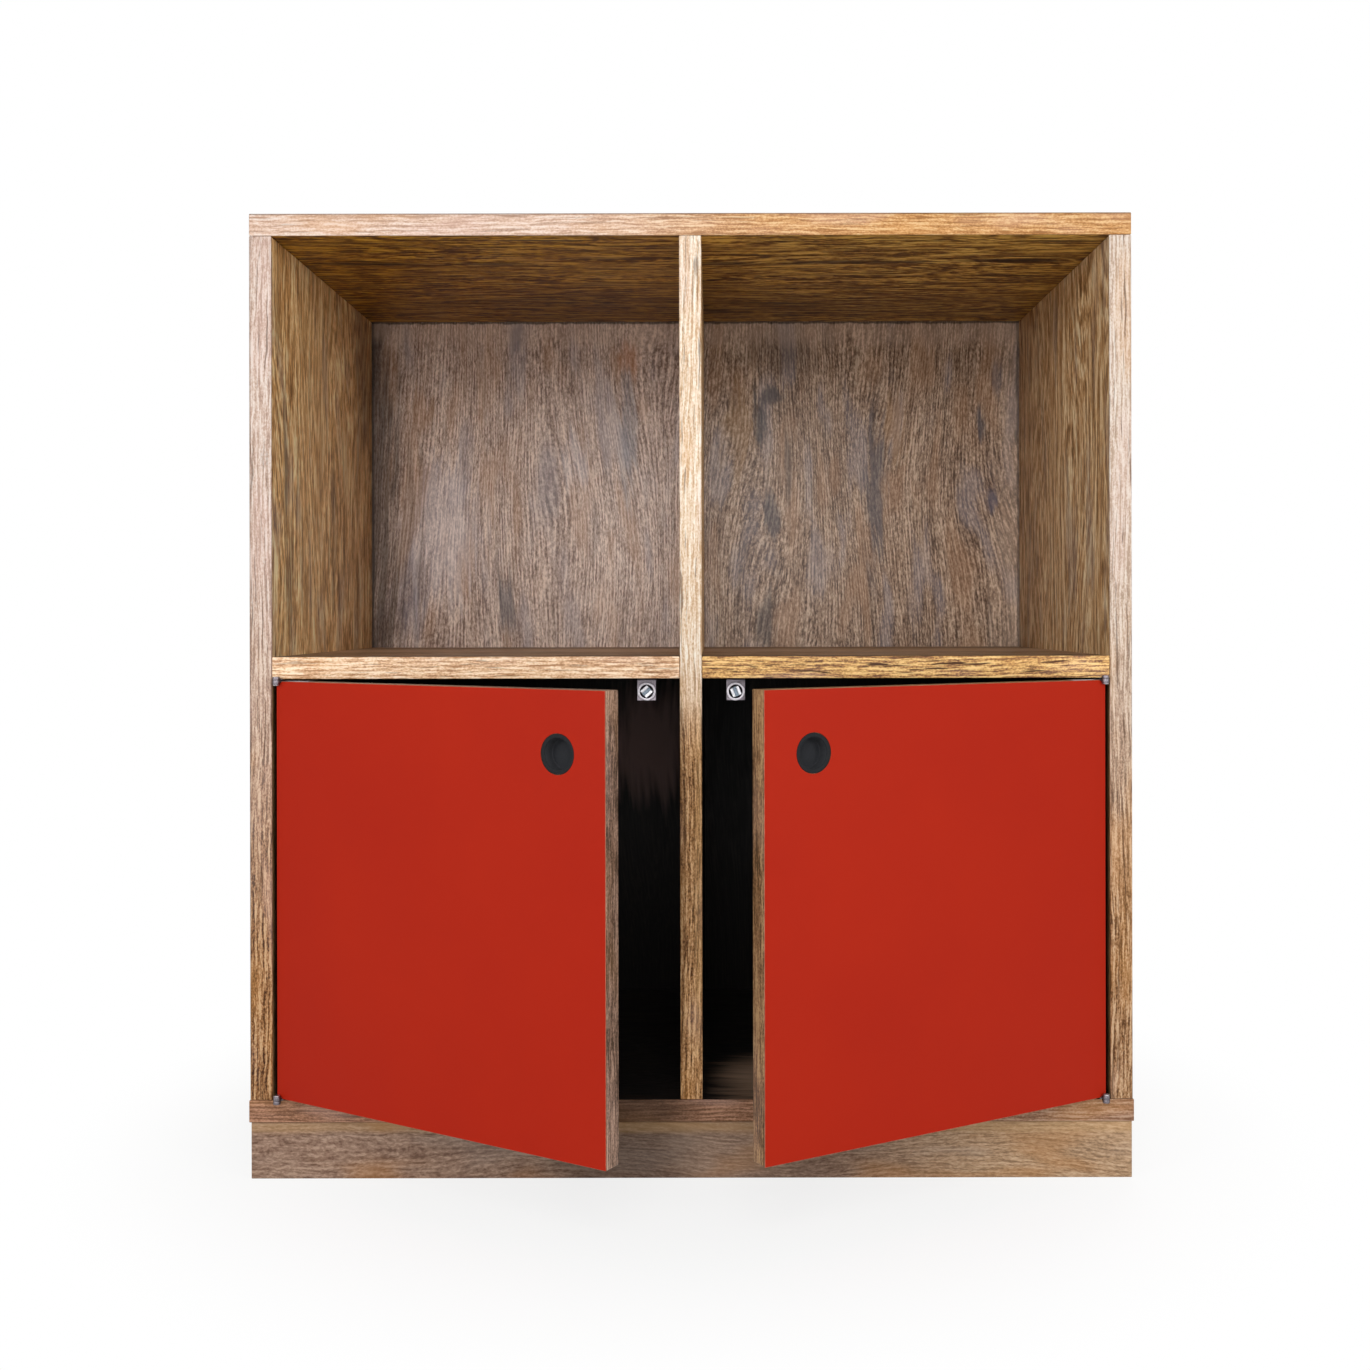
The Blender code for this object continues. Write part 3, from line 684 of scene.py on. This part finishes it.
sideMarks = [  # a few darker and paler places on the left side, inside
    ((0, -0.165, 0.660), (0, 9, 75), "#3a2412", 0.6),
    ((0, -0.150, 0.550), (0, 15, 50), "#4a3018", 0.5),
    ((0, -0.192, 0.800), (0, 10, 60), "#5a3c20", 0.45),
    ((0, -0.040, 0.700), (0, 32, 120), "#e0bc8c", 0.2),
    ((0, 0.020, 0.600), (0, 12, 90), "#5a3e22", 0.4),
    ((0, 0.160, 0.780), (0, 40, 90), "#4a3420", 0.45),
]
# change gives the heights between which each strip goes from its darker tones below to its paler tones
# above: painted shade below and painted light above, for the light falls off downwards; on the divider the
# darker part below the shelf is a painted shadow of the open doors
uprights = {
    "left_side": {
        "name": "leftSide", "start": (10, 520, 30), "change": (0.15, 0.62),
        "upper": ["#998071", "#b49a8b", "#c3b0a3", "#d0c3ba"],
        "lower": ["#341b09", "#7c532f", "#9e764f", "#bd9a73"],
        "faces": ["#7c5832", "#c19258", "#ebbd82", "#ffefbd"], "faceMarks": sideMarks,
        "stripMarks": [((-0.3997, 0, 0), (1.4, 0, 0), "#5a4030", 0.35)]},  # a dark outer arris
    "right_side": {
        "name": "rightSide", "start": (310, 220, 430), "change": (0.2, 0.62),
        "upper": ["#a38c79", "#bca695", "#c8b9ab", "#d2c8bd"],
        "lower": ["#452911", "#815c3a", "#9f7b58", "#bd9e7d"],
        "faces": ["#735230", "#b38958", "#d9b383", "#f6e6be"], "faceMarks": (), "stripMarks": ()},
    "divider": {
        "name": "divider", "start": (610, 720, 230), "change": (0.38, 0.48),
        "upper": ["#b69574", "#cfb599", "#dac7b1", "#e3dacc"],
        "lower": ["#4e2d12", "#996d43", "#b6895b", "#ddb586"],
        "faces": ["#775531", "#ba8d58", "#e0b782", "#fbeabe"], "faceMarks": (),
        "stripMarks": [((-0.009, 0, 0.26), (5, 0, 190), "#54381f", 0.4),  # below, a painted shadow of the left door on the left
                       ((0.007, 0, 0.26), (5, 0, 190), "#dcb078", 0.2)]},  # and painted light on the right
}
for node, upright in uprights.items():
    words = node.replace("_", " ")
    start = upright["start"]
    makeBoard(node, upright["name"], {
        "face": woodFinish("dark oak veneer, " + words, {  # drawn coarse, for it is seen at a low angle, and paler than the outside veneer, painted light against the shade inside the compartments
            "start": start, "tones": upright["faces"], "lineWidth": 2.4, "lineLength": 56.0,
            "poreWidth": 2.0, "poreLength": 11.0, "poreDepth": 0.5, "marks": upright["faceMarks"]}),
        "inside": paintedShadeInside("black-brown stain, " + words, "z", start),
        "outside": woodFinish("dark oak veneer, %s outside" % words, {"start": start}),
        "strip": stripFinish("oak strip, " + words, {
            "start": start, "tones": upright["lower"], "farTones": upright["upper"],
            "change": (2, *upright["change"]), "streakShare": 0.65, "ragged": 0.7,
            "marks": upright["stripMarks"]}),
        "rear": chipboard}, uprightZone)
print("boards done")


# Back panel: the same veneer, greyer, painted paler against the shade inside, with dark heartwood stains
# and with painted shadow, shade and sheen

backStainsAndPaintedLight = [  # dark heartwood stains and warm patches, with painted light and shade where noted
    # the first two are a painted shadow along the left side
    ((-0.384, 0, 0.66), (52, 0, 420), "#33261f", 0.5),
    ((-0.384, 0, 0.66), (30, 0, 420), "#2b1f19", 0.55),
    ((-0.334, 0, 0.545), (18, 0, 55), "#5c5a68", 0.45),
    ((-0.322, 0, 0.752), (12, 0, 24), "#a97c55", 0.4),
    # a painted sheen
    ((-0.296, 0, 0.605), (46, 0, 84), "#e8e8f4", 0.26),
    ((-0.2225, 0, 0.525), (10, 0, 40), "#4c484e", 0.7),
    ((-0.211, 0, 0.838), (8, 0, 17), "#5a5a68", 0.7),
    # a painted sheen
    ((-0.140, 0, 0.693), (16, 0, 34), "#dcd6dc", 0.3),
    ((-0.080, 0, 0.712), (11, 0, 70), "#6d7480", 0.5),
    ((-0.077, 0, 0.812), (12, 0, 26), "#b57a50", 0.55),
    ((0.050, 0, 0.730), (22, 0, 50), "#a9824f", 0.4),
    ((0.075, 0, 0.740), (8, 0, 30), "#3f3a3e", 0.8),
    ((0.090, 0, 0.768), (17, 0, 11), "#3f3a3e", 0.75),
    ((0.089, 0, 0.630), (8, 0, 40), "#413c44", 0.7),
    ((0.109, 0, 0.690), (5, 0, 60), "#463b36", 0.6),
    ((0.100, 0, 0.823), (42, 0, 30), "#4c3c32", 0.4),
    ((0.080, 0, 0.505), (13, 0, 34), "#453e3c", 0.6),
    ((0.211, 0, 0.665), (13, 0, 92), "#545057", 0.7),
    ((0.234, 0, 0.732), (14, 0, 42), "#b58c60", 0.4),
    ((0.334, 0, 0.738), (7, 0, 24), "#444450", 0.75),
    ((0.347, 0, 0.648), (8, 0, 18), "#55556a", 0.7),
    ((0.353, 0, 0.790), (8, 0, 22), "#5a5a68", 0.5),
    # the next two make the panel paler along the right edge and just below the top
    ((0.374, 0, 0.660), (24, 0, 420), "#f6dfcc", 0.2),
    ((0, 0, 0.846), (0, 0, 20), "#dcc0ac", 0.3),
    # the last three are painted shade in the seams along the sides and the top
    ((-0.379, 0, 0), (1.9, 0, 0), "#160d08", 0.65),
    ((0.379, 0, 0), (1.9, 0, 0), "#2a1c14", 0.6),
    ((0, 0, 0.8552), (0, 0, 2.0), "#160d08", 0.75),
]


def makeBackPanel():
    piece = copyNode("back_panel", "backPanel")
    easeEdges(piece, board)
    cutAcross(piece, (0, 0, shelfMiddle), (0, 0, 1))
    piece.data.materials.append(woodFinish("dark oak veneer, back panel", {
        "start": (0, 820, 130), "change": (0, -0.03, 0.03),  # cooler on the left, warmer on the right
        "tones": ["#795f53", "#a78f80", "#c2aa9c", "#e6d1c2"],
        "farTones": ["#543c2c", "#886e5a", "#a98e78", "#d6bea6"],
        "marks": backStainsAndPaintedLight, "lineWidth": 1.7, "lineLength": 28.0, "poreWidth": 1.5,
        "poreLength": 4.4, "poreDepth": 0.62, "streakShare": 0.2, "coolShare": 0.35, "cool": "#a09ba4",
        "warm": "#b58a66", "warmShare": 0.35, "roughness": (0.36, 0.52), "specular": 0.5}))
    thin = [((-0.053, 0, 0.362), (50, 0, 70), "#8a6c66", 0.72)]  # a painted glow of light on the back panel, low in the left compartment by the divider
    piece.data.materials.append(paintedShadeInside("black-brown stain, back panel", "z", (0, 420, 330), thin))
    piece.data.materials.append(woodFinish("backing veneer, back panel", {
        "start": (0, 90, 630), "tones": ["#5a4330", "#7a5f46", "#8f7355", "#a3886a"],
        "streakShare": 0.15, "roughness": (0.6, 0.75), "specular": 0.2}))
    middle = (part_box("back_panel")[0].y + boardBack) / 2
    for side in piece.data.polygons:
        if side.center.y > middle:
            side.material_index = 2
        else:
            side.material_index = 1 if side.center.z < shelfMiddle else 0
    shadeByAngle(piece)
    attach(piece, "carcass")
    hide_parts("back_panel")


makeBackPanel()
print("back panel done")


# Plinth: matt and a little paler, grain along each rail

plinthLook = {
    "tones": ["#634a3c", "#7c6252", "#8c7261", "#a38976"],
    "farTones": ["#7f654d", "#9a7e61", "#ab8d6f", "#bca184"],
    "change": (0, 0.1, 0.3),
    "toneSteps": (0.34, 0.45, 0.55, 0.67),
    "lineLength": 16.0,
    "poreLength": 4.0,
    "poreDepth": 0.6,
    "swings": ((110, 320, 30), (26, 90, 4.0), (10, 30, 1.2)),
    "cool": "#8d8077",
    "streakShare": 0.06,
    "roughness": (0.55, 0.72),
    "specular": 0.2,
    "ragged": 0.7,
    "marks": [
        ((-0.055, 0, 0), (70, 0, 0), "#2a1c12", 0.46),  # a painted shadow of the left door left of the middle, and painted light right of it
        ((0.040, 0, 0), (60, 0, 0), "#a58d78", 0.2),
        # a paler, yellower band just below the seam, painted light
        ((0, 0, 0.048), (0, 0, 7), "#b5905f", 0.35),
        ((0, 0, 0.0535), (0, 0, 2.6), "#2b1c12", 0.7),  # a painted shadow in the seam under the bottom board
    ],
}
rails = ("plinth_front", "plinth_back", "plinth_left", "plinth_right", "plinth_bearer")


def camelName(node):
    first, *rest = node.split("_")
    return first + "".join(word.capitalize() for word in rest)


for number, rail in enumerate(rails):
    piece = copyNode(rail, camelName(rail))
    easeEdges(piece, board)
    look = dict(plinthLook, grain="x" if number < 2 else "y", start=(90 * number, 210, 75 * number))
    piece.data.materials.append(woodFinish("dark oak, " + rail.replace("_", " "), look))
    shadeByAngle(piece)
    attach(piece, "carcass")
    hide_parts(rail)
print("plinth done")


# Doors: a veneered panel with a red sheet on its face, standing open on its pivots

door = {
    "strip": 1.2 * mm,          # the glued strips round the panel's edges
    "glue": 0.2 * mm,
    "nearCup": 20 * mm,         # what lies nearer to the cup's middle than this is its hole
    "drillMore": 0.03 * mm,
    "drillSides": 96,
    "drillLength": 20 * mm,
    "glueGap": 0.28 * mm,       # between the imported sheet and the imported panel
    "backSkin": 0.05 * mm,      # what lies nearer to the sheet's back than this moves to meet the panel
    "arris": 0.25 * mm,         # how far back from the face the paler arris reaches
    "arrisSlope": 0.3,          # and how much its faces look forwards
}
joints = {joint["name"]: joint for joint in frame["joints"]}


def doorTurn(label):  # the turn that takes the closed door to where it stands, and its angle
    joint = joints[label + "_door_hinge"]
    angle = -math.radians(joint["range_deg"][0]) * joint["axis"][2]
    pivot = Vector(joint["pos_m"])
    return Matrix.Translation(pivot) @ Matrix.Rotation(angle, 4, "Z") @ Matrix.Translation(-pivot), angle


def applyPlace(piece, place):
    pickOnly(piece)
    piece.matrix_world = place
    bpy.ops.object.transform_apply(location=True, rotation=True, scale=True)


def cupPlace(label, turn):  # middle of the finger cup's face, on the closed door
    closed = [turn.inverted() @ v.co for v in frame["nodes"][label + "_finger_cup"].data.vertices]
    low, high = [Vector([pick(v[i] for v in closed) for i in range(3)]) for pick in (min, max)]
    return Vector(((low.x + high.x) / 2, low.y, (low.z + high.z) / 2))


def cutWith(piece, cutter):  # takes the selected cutter's shape out of the piece
    bpy.ops.object.transform_apply(location=True, rotation=True, scale=True)
    bpy.context.view_layer.objects.active = piece
    cut = piece.modifiers.new("cut", "BOOLEAN")
    cut.operation = "DIFFERENCE"
    cut.solver = "EXACT"
    cut.object = cutter
    bpy.ops.object.modifier_apply(modifier=cut.name)
    bpy.data.objects.remove(cutter)


def roundHole(sheet, label, turn):  # the hole for the cup is drilled again with a rounder edge
    middle = cupPlace(label, turn)
    reaches = [(Vector((v.co.x, 0, v.co.z)) - Vector((middle.x, 0, middle.z))).length
               for v in sheet.data.vertices]
    radius = max(reach for reach in reaches if reach < door["nearCup"]) + door["drillMore"]
    deselectAll()
    bpy.ops.mesh.primitive_cylinder_add(vertices=door["drillSides"], radius=radius,
                                        depth=door["drillLength"], location=middle,
                                        rotation=(math.radians(90), 0, 0))
    cutWith(sheet, bpy.context.object)


def makeDoorPanel(label, start, edgeTones):
    turn, angle = doorTurn(label)
    panel = copyNode(label + "_door_panel", label + "DoorPanel")
    applyPlace(panel, turn.inverted())
    easeEdges(panel, board)
    low = Vector([min(v.co[i] for v in panel.data.vertices) for i in range(3)])
    high = Vector([max(v.co[i] for v in panel.data.vertices) for i in range(3)])
    for axis in (0, 2):
        normal = [0, 0, 0]
        normal[axis] = 1
        for depth in (door["strip"], door["strip"] + door["glue"]):
            for plane in (low[axis] + depth, high[axis] - depth):
                place = [0, 0, 0]
                place[axis] = plane
                cutAcross(panel, place, normal)
    degrees = -math.degrees(angle)
    edgeLook = dict(oakStrip, start=start, turn=degrees, tones=edgeTones, coolShare=0.08, warmShare=0.08)
    finishes = {
        "back": woodFinish("dark oak veneer, %s door back" % label,
                           {"start": start, "turn": degrees, "coolShare": 0.2}),
        "edge": woodFinish("oak edge strips, %s door" % label, edgeLook),
        "glue": glueLine,
        "end": woodFinish("oak end strips, %s door" % label, dict(edgeLook, grain="x")),
    }
    places = list(finishes)
    for finish in finishes.values():
        panel.data.materials.append(finish)
    for side in panel.data.polygons:
        centre = side.center
        endDepth = min(centre.z - low.z, high.z - centre.z)
        edgeDepth = min(centre.x - low.x, high.x - centre.x)
        where = "back"
        if edgeDepth < door["strip"]:
            where = "edge"
        elif endDepth < door["strip"]:
            where = "end"
        elif min(edgeDepth, endDepth) < door["strip"] + door["glue"]:
            where = "glue"
        side.material_index = places.index(where)
    applyPlace(panel, turn)
    shadeByAngle(panel)
    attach(panel, label + "_door")
    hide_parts(label + "_door_panel")


def makeDoorSheet(label):
    turn, angle = doorTurn(label)
    sheet = copyNode(label + "_door_laminate", label + "DoorLaminate")
    applyPlace(sheet, turn.inverted())
    face = min(v.co.y for v in sheet.data.vertices)
    rear = max(v.co.y for v in sheet.data.vertices)
    roundHole(sheet, label, turn)
    for vertex in sheet.data.vertices:  # the sheet is glued on, so its back meets the panel
        if vertex.co.y > rear - door["backSkin"]:
            vertex.co.y += door["glueGap"]
    for finish in (redLaminate, laminateArris, laminateCore):
        sheet.data.materials.append(finish)
    for side in sheet.data.polygons:
        if side.normal.y < -squareTo:
            side.material_index = 0
        elif side.normal.y < -door["arrisSlope"] and side.center.y < face + door["arris"]:
            side.material_index = 1
        else:
            side.material_index = 2
    applyPlace(sheet, turn)
    shadeByAngle(sheet)
    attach(sheet, label + "_door")
    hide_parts(label + "_door_laminate")


for label, start, edgeTones in (
        ("left", (140, 460, 320), ["#453529", "#735a4c", "#907462", "#ad8f7d"]),
        ("right", (540, 160, 820), ["#3f2d1c", "#6a4b30", "#866447", "#a6855f"])):
    makeDoorPanel(label, start, edgeTones)
    makeDoorSheet(label)
print("doors done")


# Fittings: hinges, catches, strike plates and finger cups

# corners of each turned part, as (radius, depth, easing) in mm from its head or face
turnedShapes = {
    "finger cup": [(0, 10.8, 0), (12.8, 10.8, 1.6), (12.9, 0, 0.8), (16.4, 0, 0.4), (16.4, 0.9, 0),
                   (14.0, 0.9, 0), (14.0, 12.0, 0.6), (0, 12.0, 0)],
    "catch cup": [(1.8, 6.8, 0), (6.3, 6.8, 0.8), (6.3, 0, 0.3), (7.3, 0, 0), (7.4, 0.12, 0),
                  (7.6, 0.12, 0), (7.7, 0, 0), (8.4, 0, 0.4), (8.4, 1.2, 0.1), (7.3, 1.2, 0),
                  (7.3, 8.0, 0.3), (1.8, 8.0, 0), (1.8, 6.8, 0)],
    "pin": [(0, 0, 0), (2.9, 0, 0.7), (2.9, 0.9, 0.1), (1.4, 0.9, 0), (1.4, 7.95, 0.3), (0, 7.95, 0)],
}
screwShape = {
    "head": [(0, 0, 0), (2.3, 0, 0.12), (2.15, 0.25, 0.1), (1.3, 1.2, 0)],
    "threadStart": 2.4,         # mm from the head
    "threadEnd": 9.3,
    "pitch": 0.75,
    "root": 0.95,
    "crest": 1.3,
    "tip": 11.9,
    "slot": (6, 0.5, 0.4),      # mm long, wide and deep; it runs out over the head
    "turnEach": 37,             # degrees from one screw's slot to the next
}
fitting = {
    "turnSteps": 72,
    "screwSteps": 28,
    "easing": 0.07 * mm,        # as on the boards, for the plates' edges
    "easedEdge": 1.2 * mm,
    "bentEdge": math.radians(50),
    "bowl": (12.85 * mm, 11 * mm),  # radius and depth within which the finger cup is textured
    "wallTilt": 0.75,           # the bowl's wall is where the faces look less than this along its axis
    "bore": (6.4 * mm, 0.3 * mm),   # radius within which, and depth from which, the catch cup is black
}


def bodyOf(node):
    return frame["nodes"][node].parent.name.split(":")[1]


def softened(corners, steps=4):  # each easing trims its corner into a curve
    points = []
    for number, (radius, depth, easing) in enumerate(corners):
        corner = Vector((radius, 0, depth)) * mm
        if not easing:
            points.append(corner)
            continue
        before, after = [Vector((near[0], 0, near[1])) * mm - corner
                         for near in (corners[number - 1], corners[number + 1])]
        start = corner + before.normalized() * easing * mm
        end = corner + after.normalized() * easing * mm
        for step in range(steps + 1):
            part = step / steps
            points.append(start.lerp(corner, part).lerp(corner.lerp(end, part), part))
    return points


def turnedPiece(name, points, steps):  # spun about z, with its head at the origin and +z into the work
    data = bpy.data.meshes.new(name)
    data.from_pydata(points, [(i, i + 1) for i in range(len(points) - 1)], [])
    piece = bpy.data.objects.new(name, data)
    bpy.context.scene.collection.objects.link(piece)
    pickOnly(piece)
    bpy.ops.object.mode_set(mode="EDIT")
    bpy.ops.mesh.select_all(action="SELECT")
    bpy.ops.mesh.spin(steps=steps, angle=2 * math.pi, center=(0, 0, 0), axis=(0, 0, 1))
    bpy.ops.mesh.select_all(action="SELECT")
    bpy.ops.mesh.remove_doubles(threshold=mergeDistance)
    bpy.ops.mesh.normals_make_consistent(inside=False)
    bpy.ops.object.mode_set(mode="OBJECT")
    return piece


def copyPiece(piece, name):
    twin = bpy.data.objects.new(name, piece.data.copy())
    twin.data.name = name
    bpy.context.scene.collection.objects.link(twin)
    return twin


def finishPiece(piece, node):
    shadeByAngle(piece)
    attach(piece, bodyOf(node))
    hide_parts(node)


def headAndWay(node):  # middle of the head of an upright turned part, and whether it runs up or down
    low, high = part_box(node)
    middle = (low + high) / 2
    widest = max(frame["nodes"][node].data.vertices,
                 key=lambda v: (Vector(v.co[:2]) - Vector(middle[:2])).length)
    up = widest.co.z < middle.z
    return Vector((middle.x, middle.y, low.z if up else high.z)), up


def makeScrew():
    shape = screwShape
    corners = list(shape["head"])
    depth = shape["threadStart"]
    while depth < shape["threadEnd"]:
        corners += [(shape["root"], depth, 0), (shape["crest"], depth + shape["pitch"] / 2, 0)]
        depth += shape["pitch"]
    corners += [(shape["root"], depth, 0), (0, shape["tip"], 0)]
    screw = turnedPiece("screw", softened(corners), fitting["screwSteps"])
    length, width, deep = shape["slot"]
    deselectAll()
    bpy.ops.mesh.primitive_cube_add(size=1, location=(0, 0, 0))
    cutter = bpy.context.object
    cutter.scale = (length * mm, width * mm, 2 * deep * mm)  # half of it stands above the head
    cutWith(screw, cutter)
    screw.data.materials.append(zincSteel)
    return screw


def placeUpright(model, node, number=0):  # a copy of the model where the node is
    head, up = headAndWay(node)
    piece = copyPiece(model, camelName(node))
    flip = Matrix.Identity(4) if up else Matrix.Rotation(math.pi, 4, "X")
    spin = Matrix.Rotation(math.radians(screwShape["turnEach"] * number), 4, "Z")
    piece.data.transform(Matrix.Translation(head) @ flip @ spin)
    return piece


def makeFingerCup(label):
    node = label + "_finger_cup"
    turn, angle = doorTurn(label)
    face = cupPlace(label, turn)
    radius, depth = fitting["bowl"]
    piece = turnedPiece(label + "FingerCup", softened(turnedShapes["finger cup"]), fitting["turnSteps"])
    for finish in (blackPlastic, bowlPlastic, wallPaintedLighter):
        piece.data.materials.append(finish)
    for side in piece.data.polygons:  # the bowl and its wall are textured, the rim is smooth; the wall is painted lighter against its shade
        inside = Vector(side.center[:2]).length < radius and side.center.z < depth
        steep = abs(side.normal.z) < fitting["wallTilt"]
        side.material_index = (2 if steep else 1) if inside else 0
    piece.data.transform(turn @ Matrix.Translation(face) @ Matrix.Rotation(math.radians(-90), 4, "X"))
    finishPiece(piece, node)


def makeCatchCup(label):
    node = label + "_catch_cup"
    low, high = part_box(node)
    face = Vector(((low.x + high.x) / 2, low.y, (low.z + high.z) / 2))
    piece = turnedPiece(label + "CatchCup", softened(turnedShapes["catch cup"]), fitting["turnSteps"])
    piece.data.materials.append(nickelSteel)
    piece.data.materials.append(boreShadeSteel)
    radius, depth = fitting["bore"]
    for side in piece.data.polygons:  # the bore is painted black, painted shade
        inside = Vector(side.center[:2]).length < radius and side.center.z > depth
        side.material_index = 1 if inside else 0
    piece.data.transform(Matrix.Translation(face) @ Matrix.Rotation(math.radians(-90), 4, "X"))
    finishPiece(piece, node)


def makePlate(node, finish):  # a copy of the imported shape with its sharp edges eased
    piece = copyNode(node, camelName(node))
    easeEdges(piece, fitting)
    piece.data.materials.append(finish)
    finishPiece(piece, node)


screwModel = makeScrew()
pinModel = turnedPiece("pin", softened(turnedShapes["pin"]), fitting["turnSteps"])
pinModel.data.materials.append(nickelSteel)
for number, node in enumerate(frame["nodes"]):
    if "screw" in node:
        finishPiece(placeUpright(screwModel, node, number), node)
    elif node.endswith("pin"):
        finishPiece(placeUpright(pinModel, node), node)
    elif "leaf" in node or "bracket" in node or "strike" in node:
        makePlate(node, zincSteel)
    elif "yoke" in node:
        makePlate(node, poleSteel)
    elif "magnet" in node:
        makePlate(node, ferriteGrey)
for model in (screwModel, pinModel):
    bpy.data.objects.remove(model)
for label in ("left", "right"):
    makeFingerCup(label)
    makeCatchCup(label)
print("fittings done")
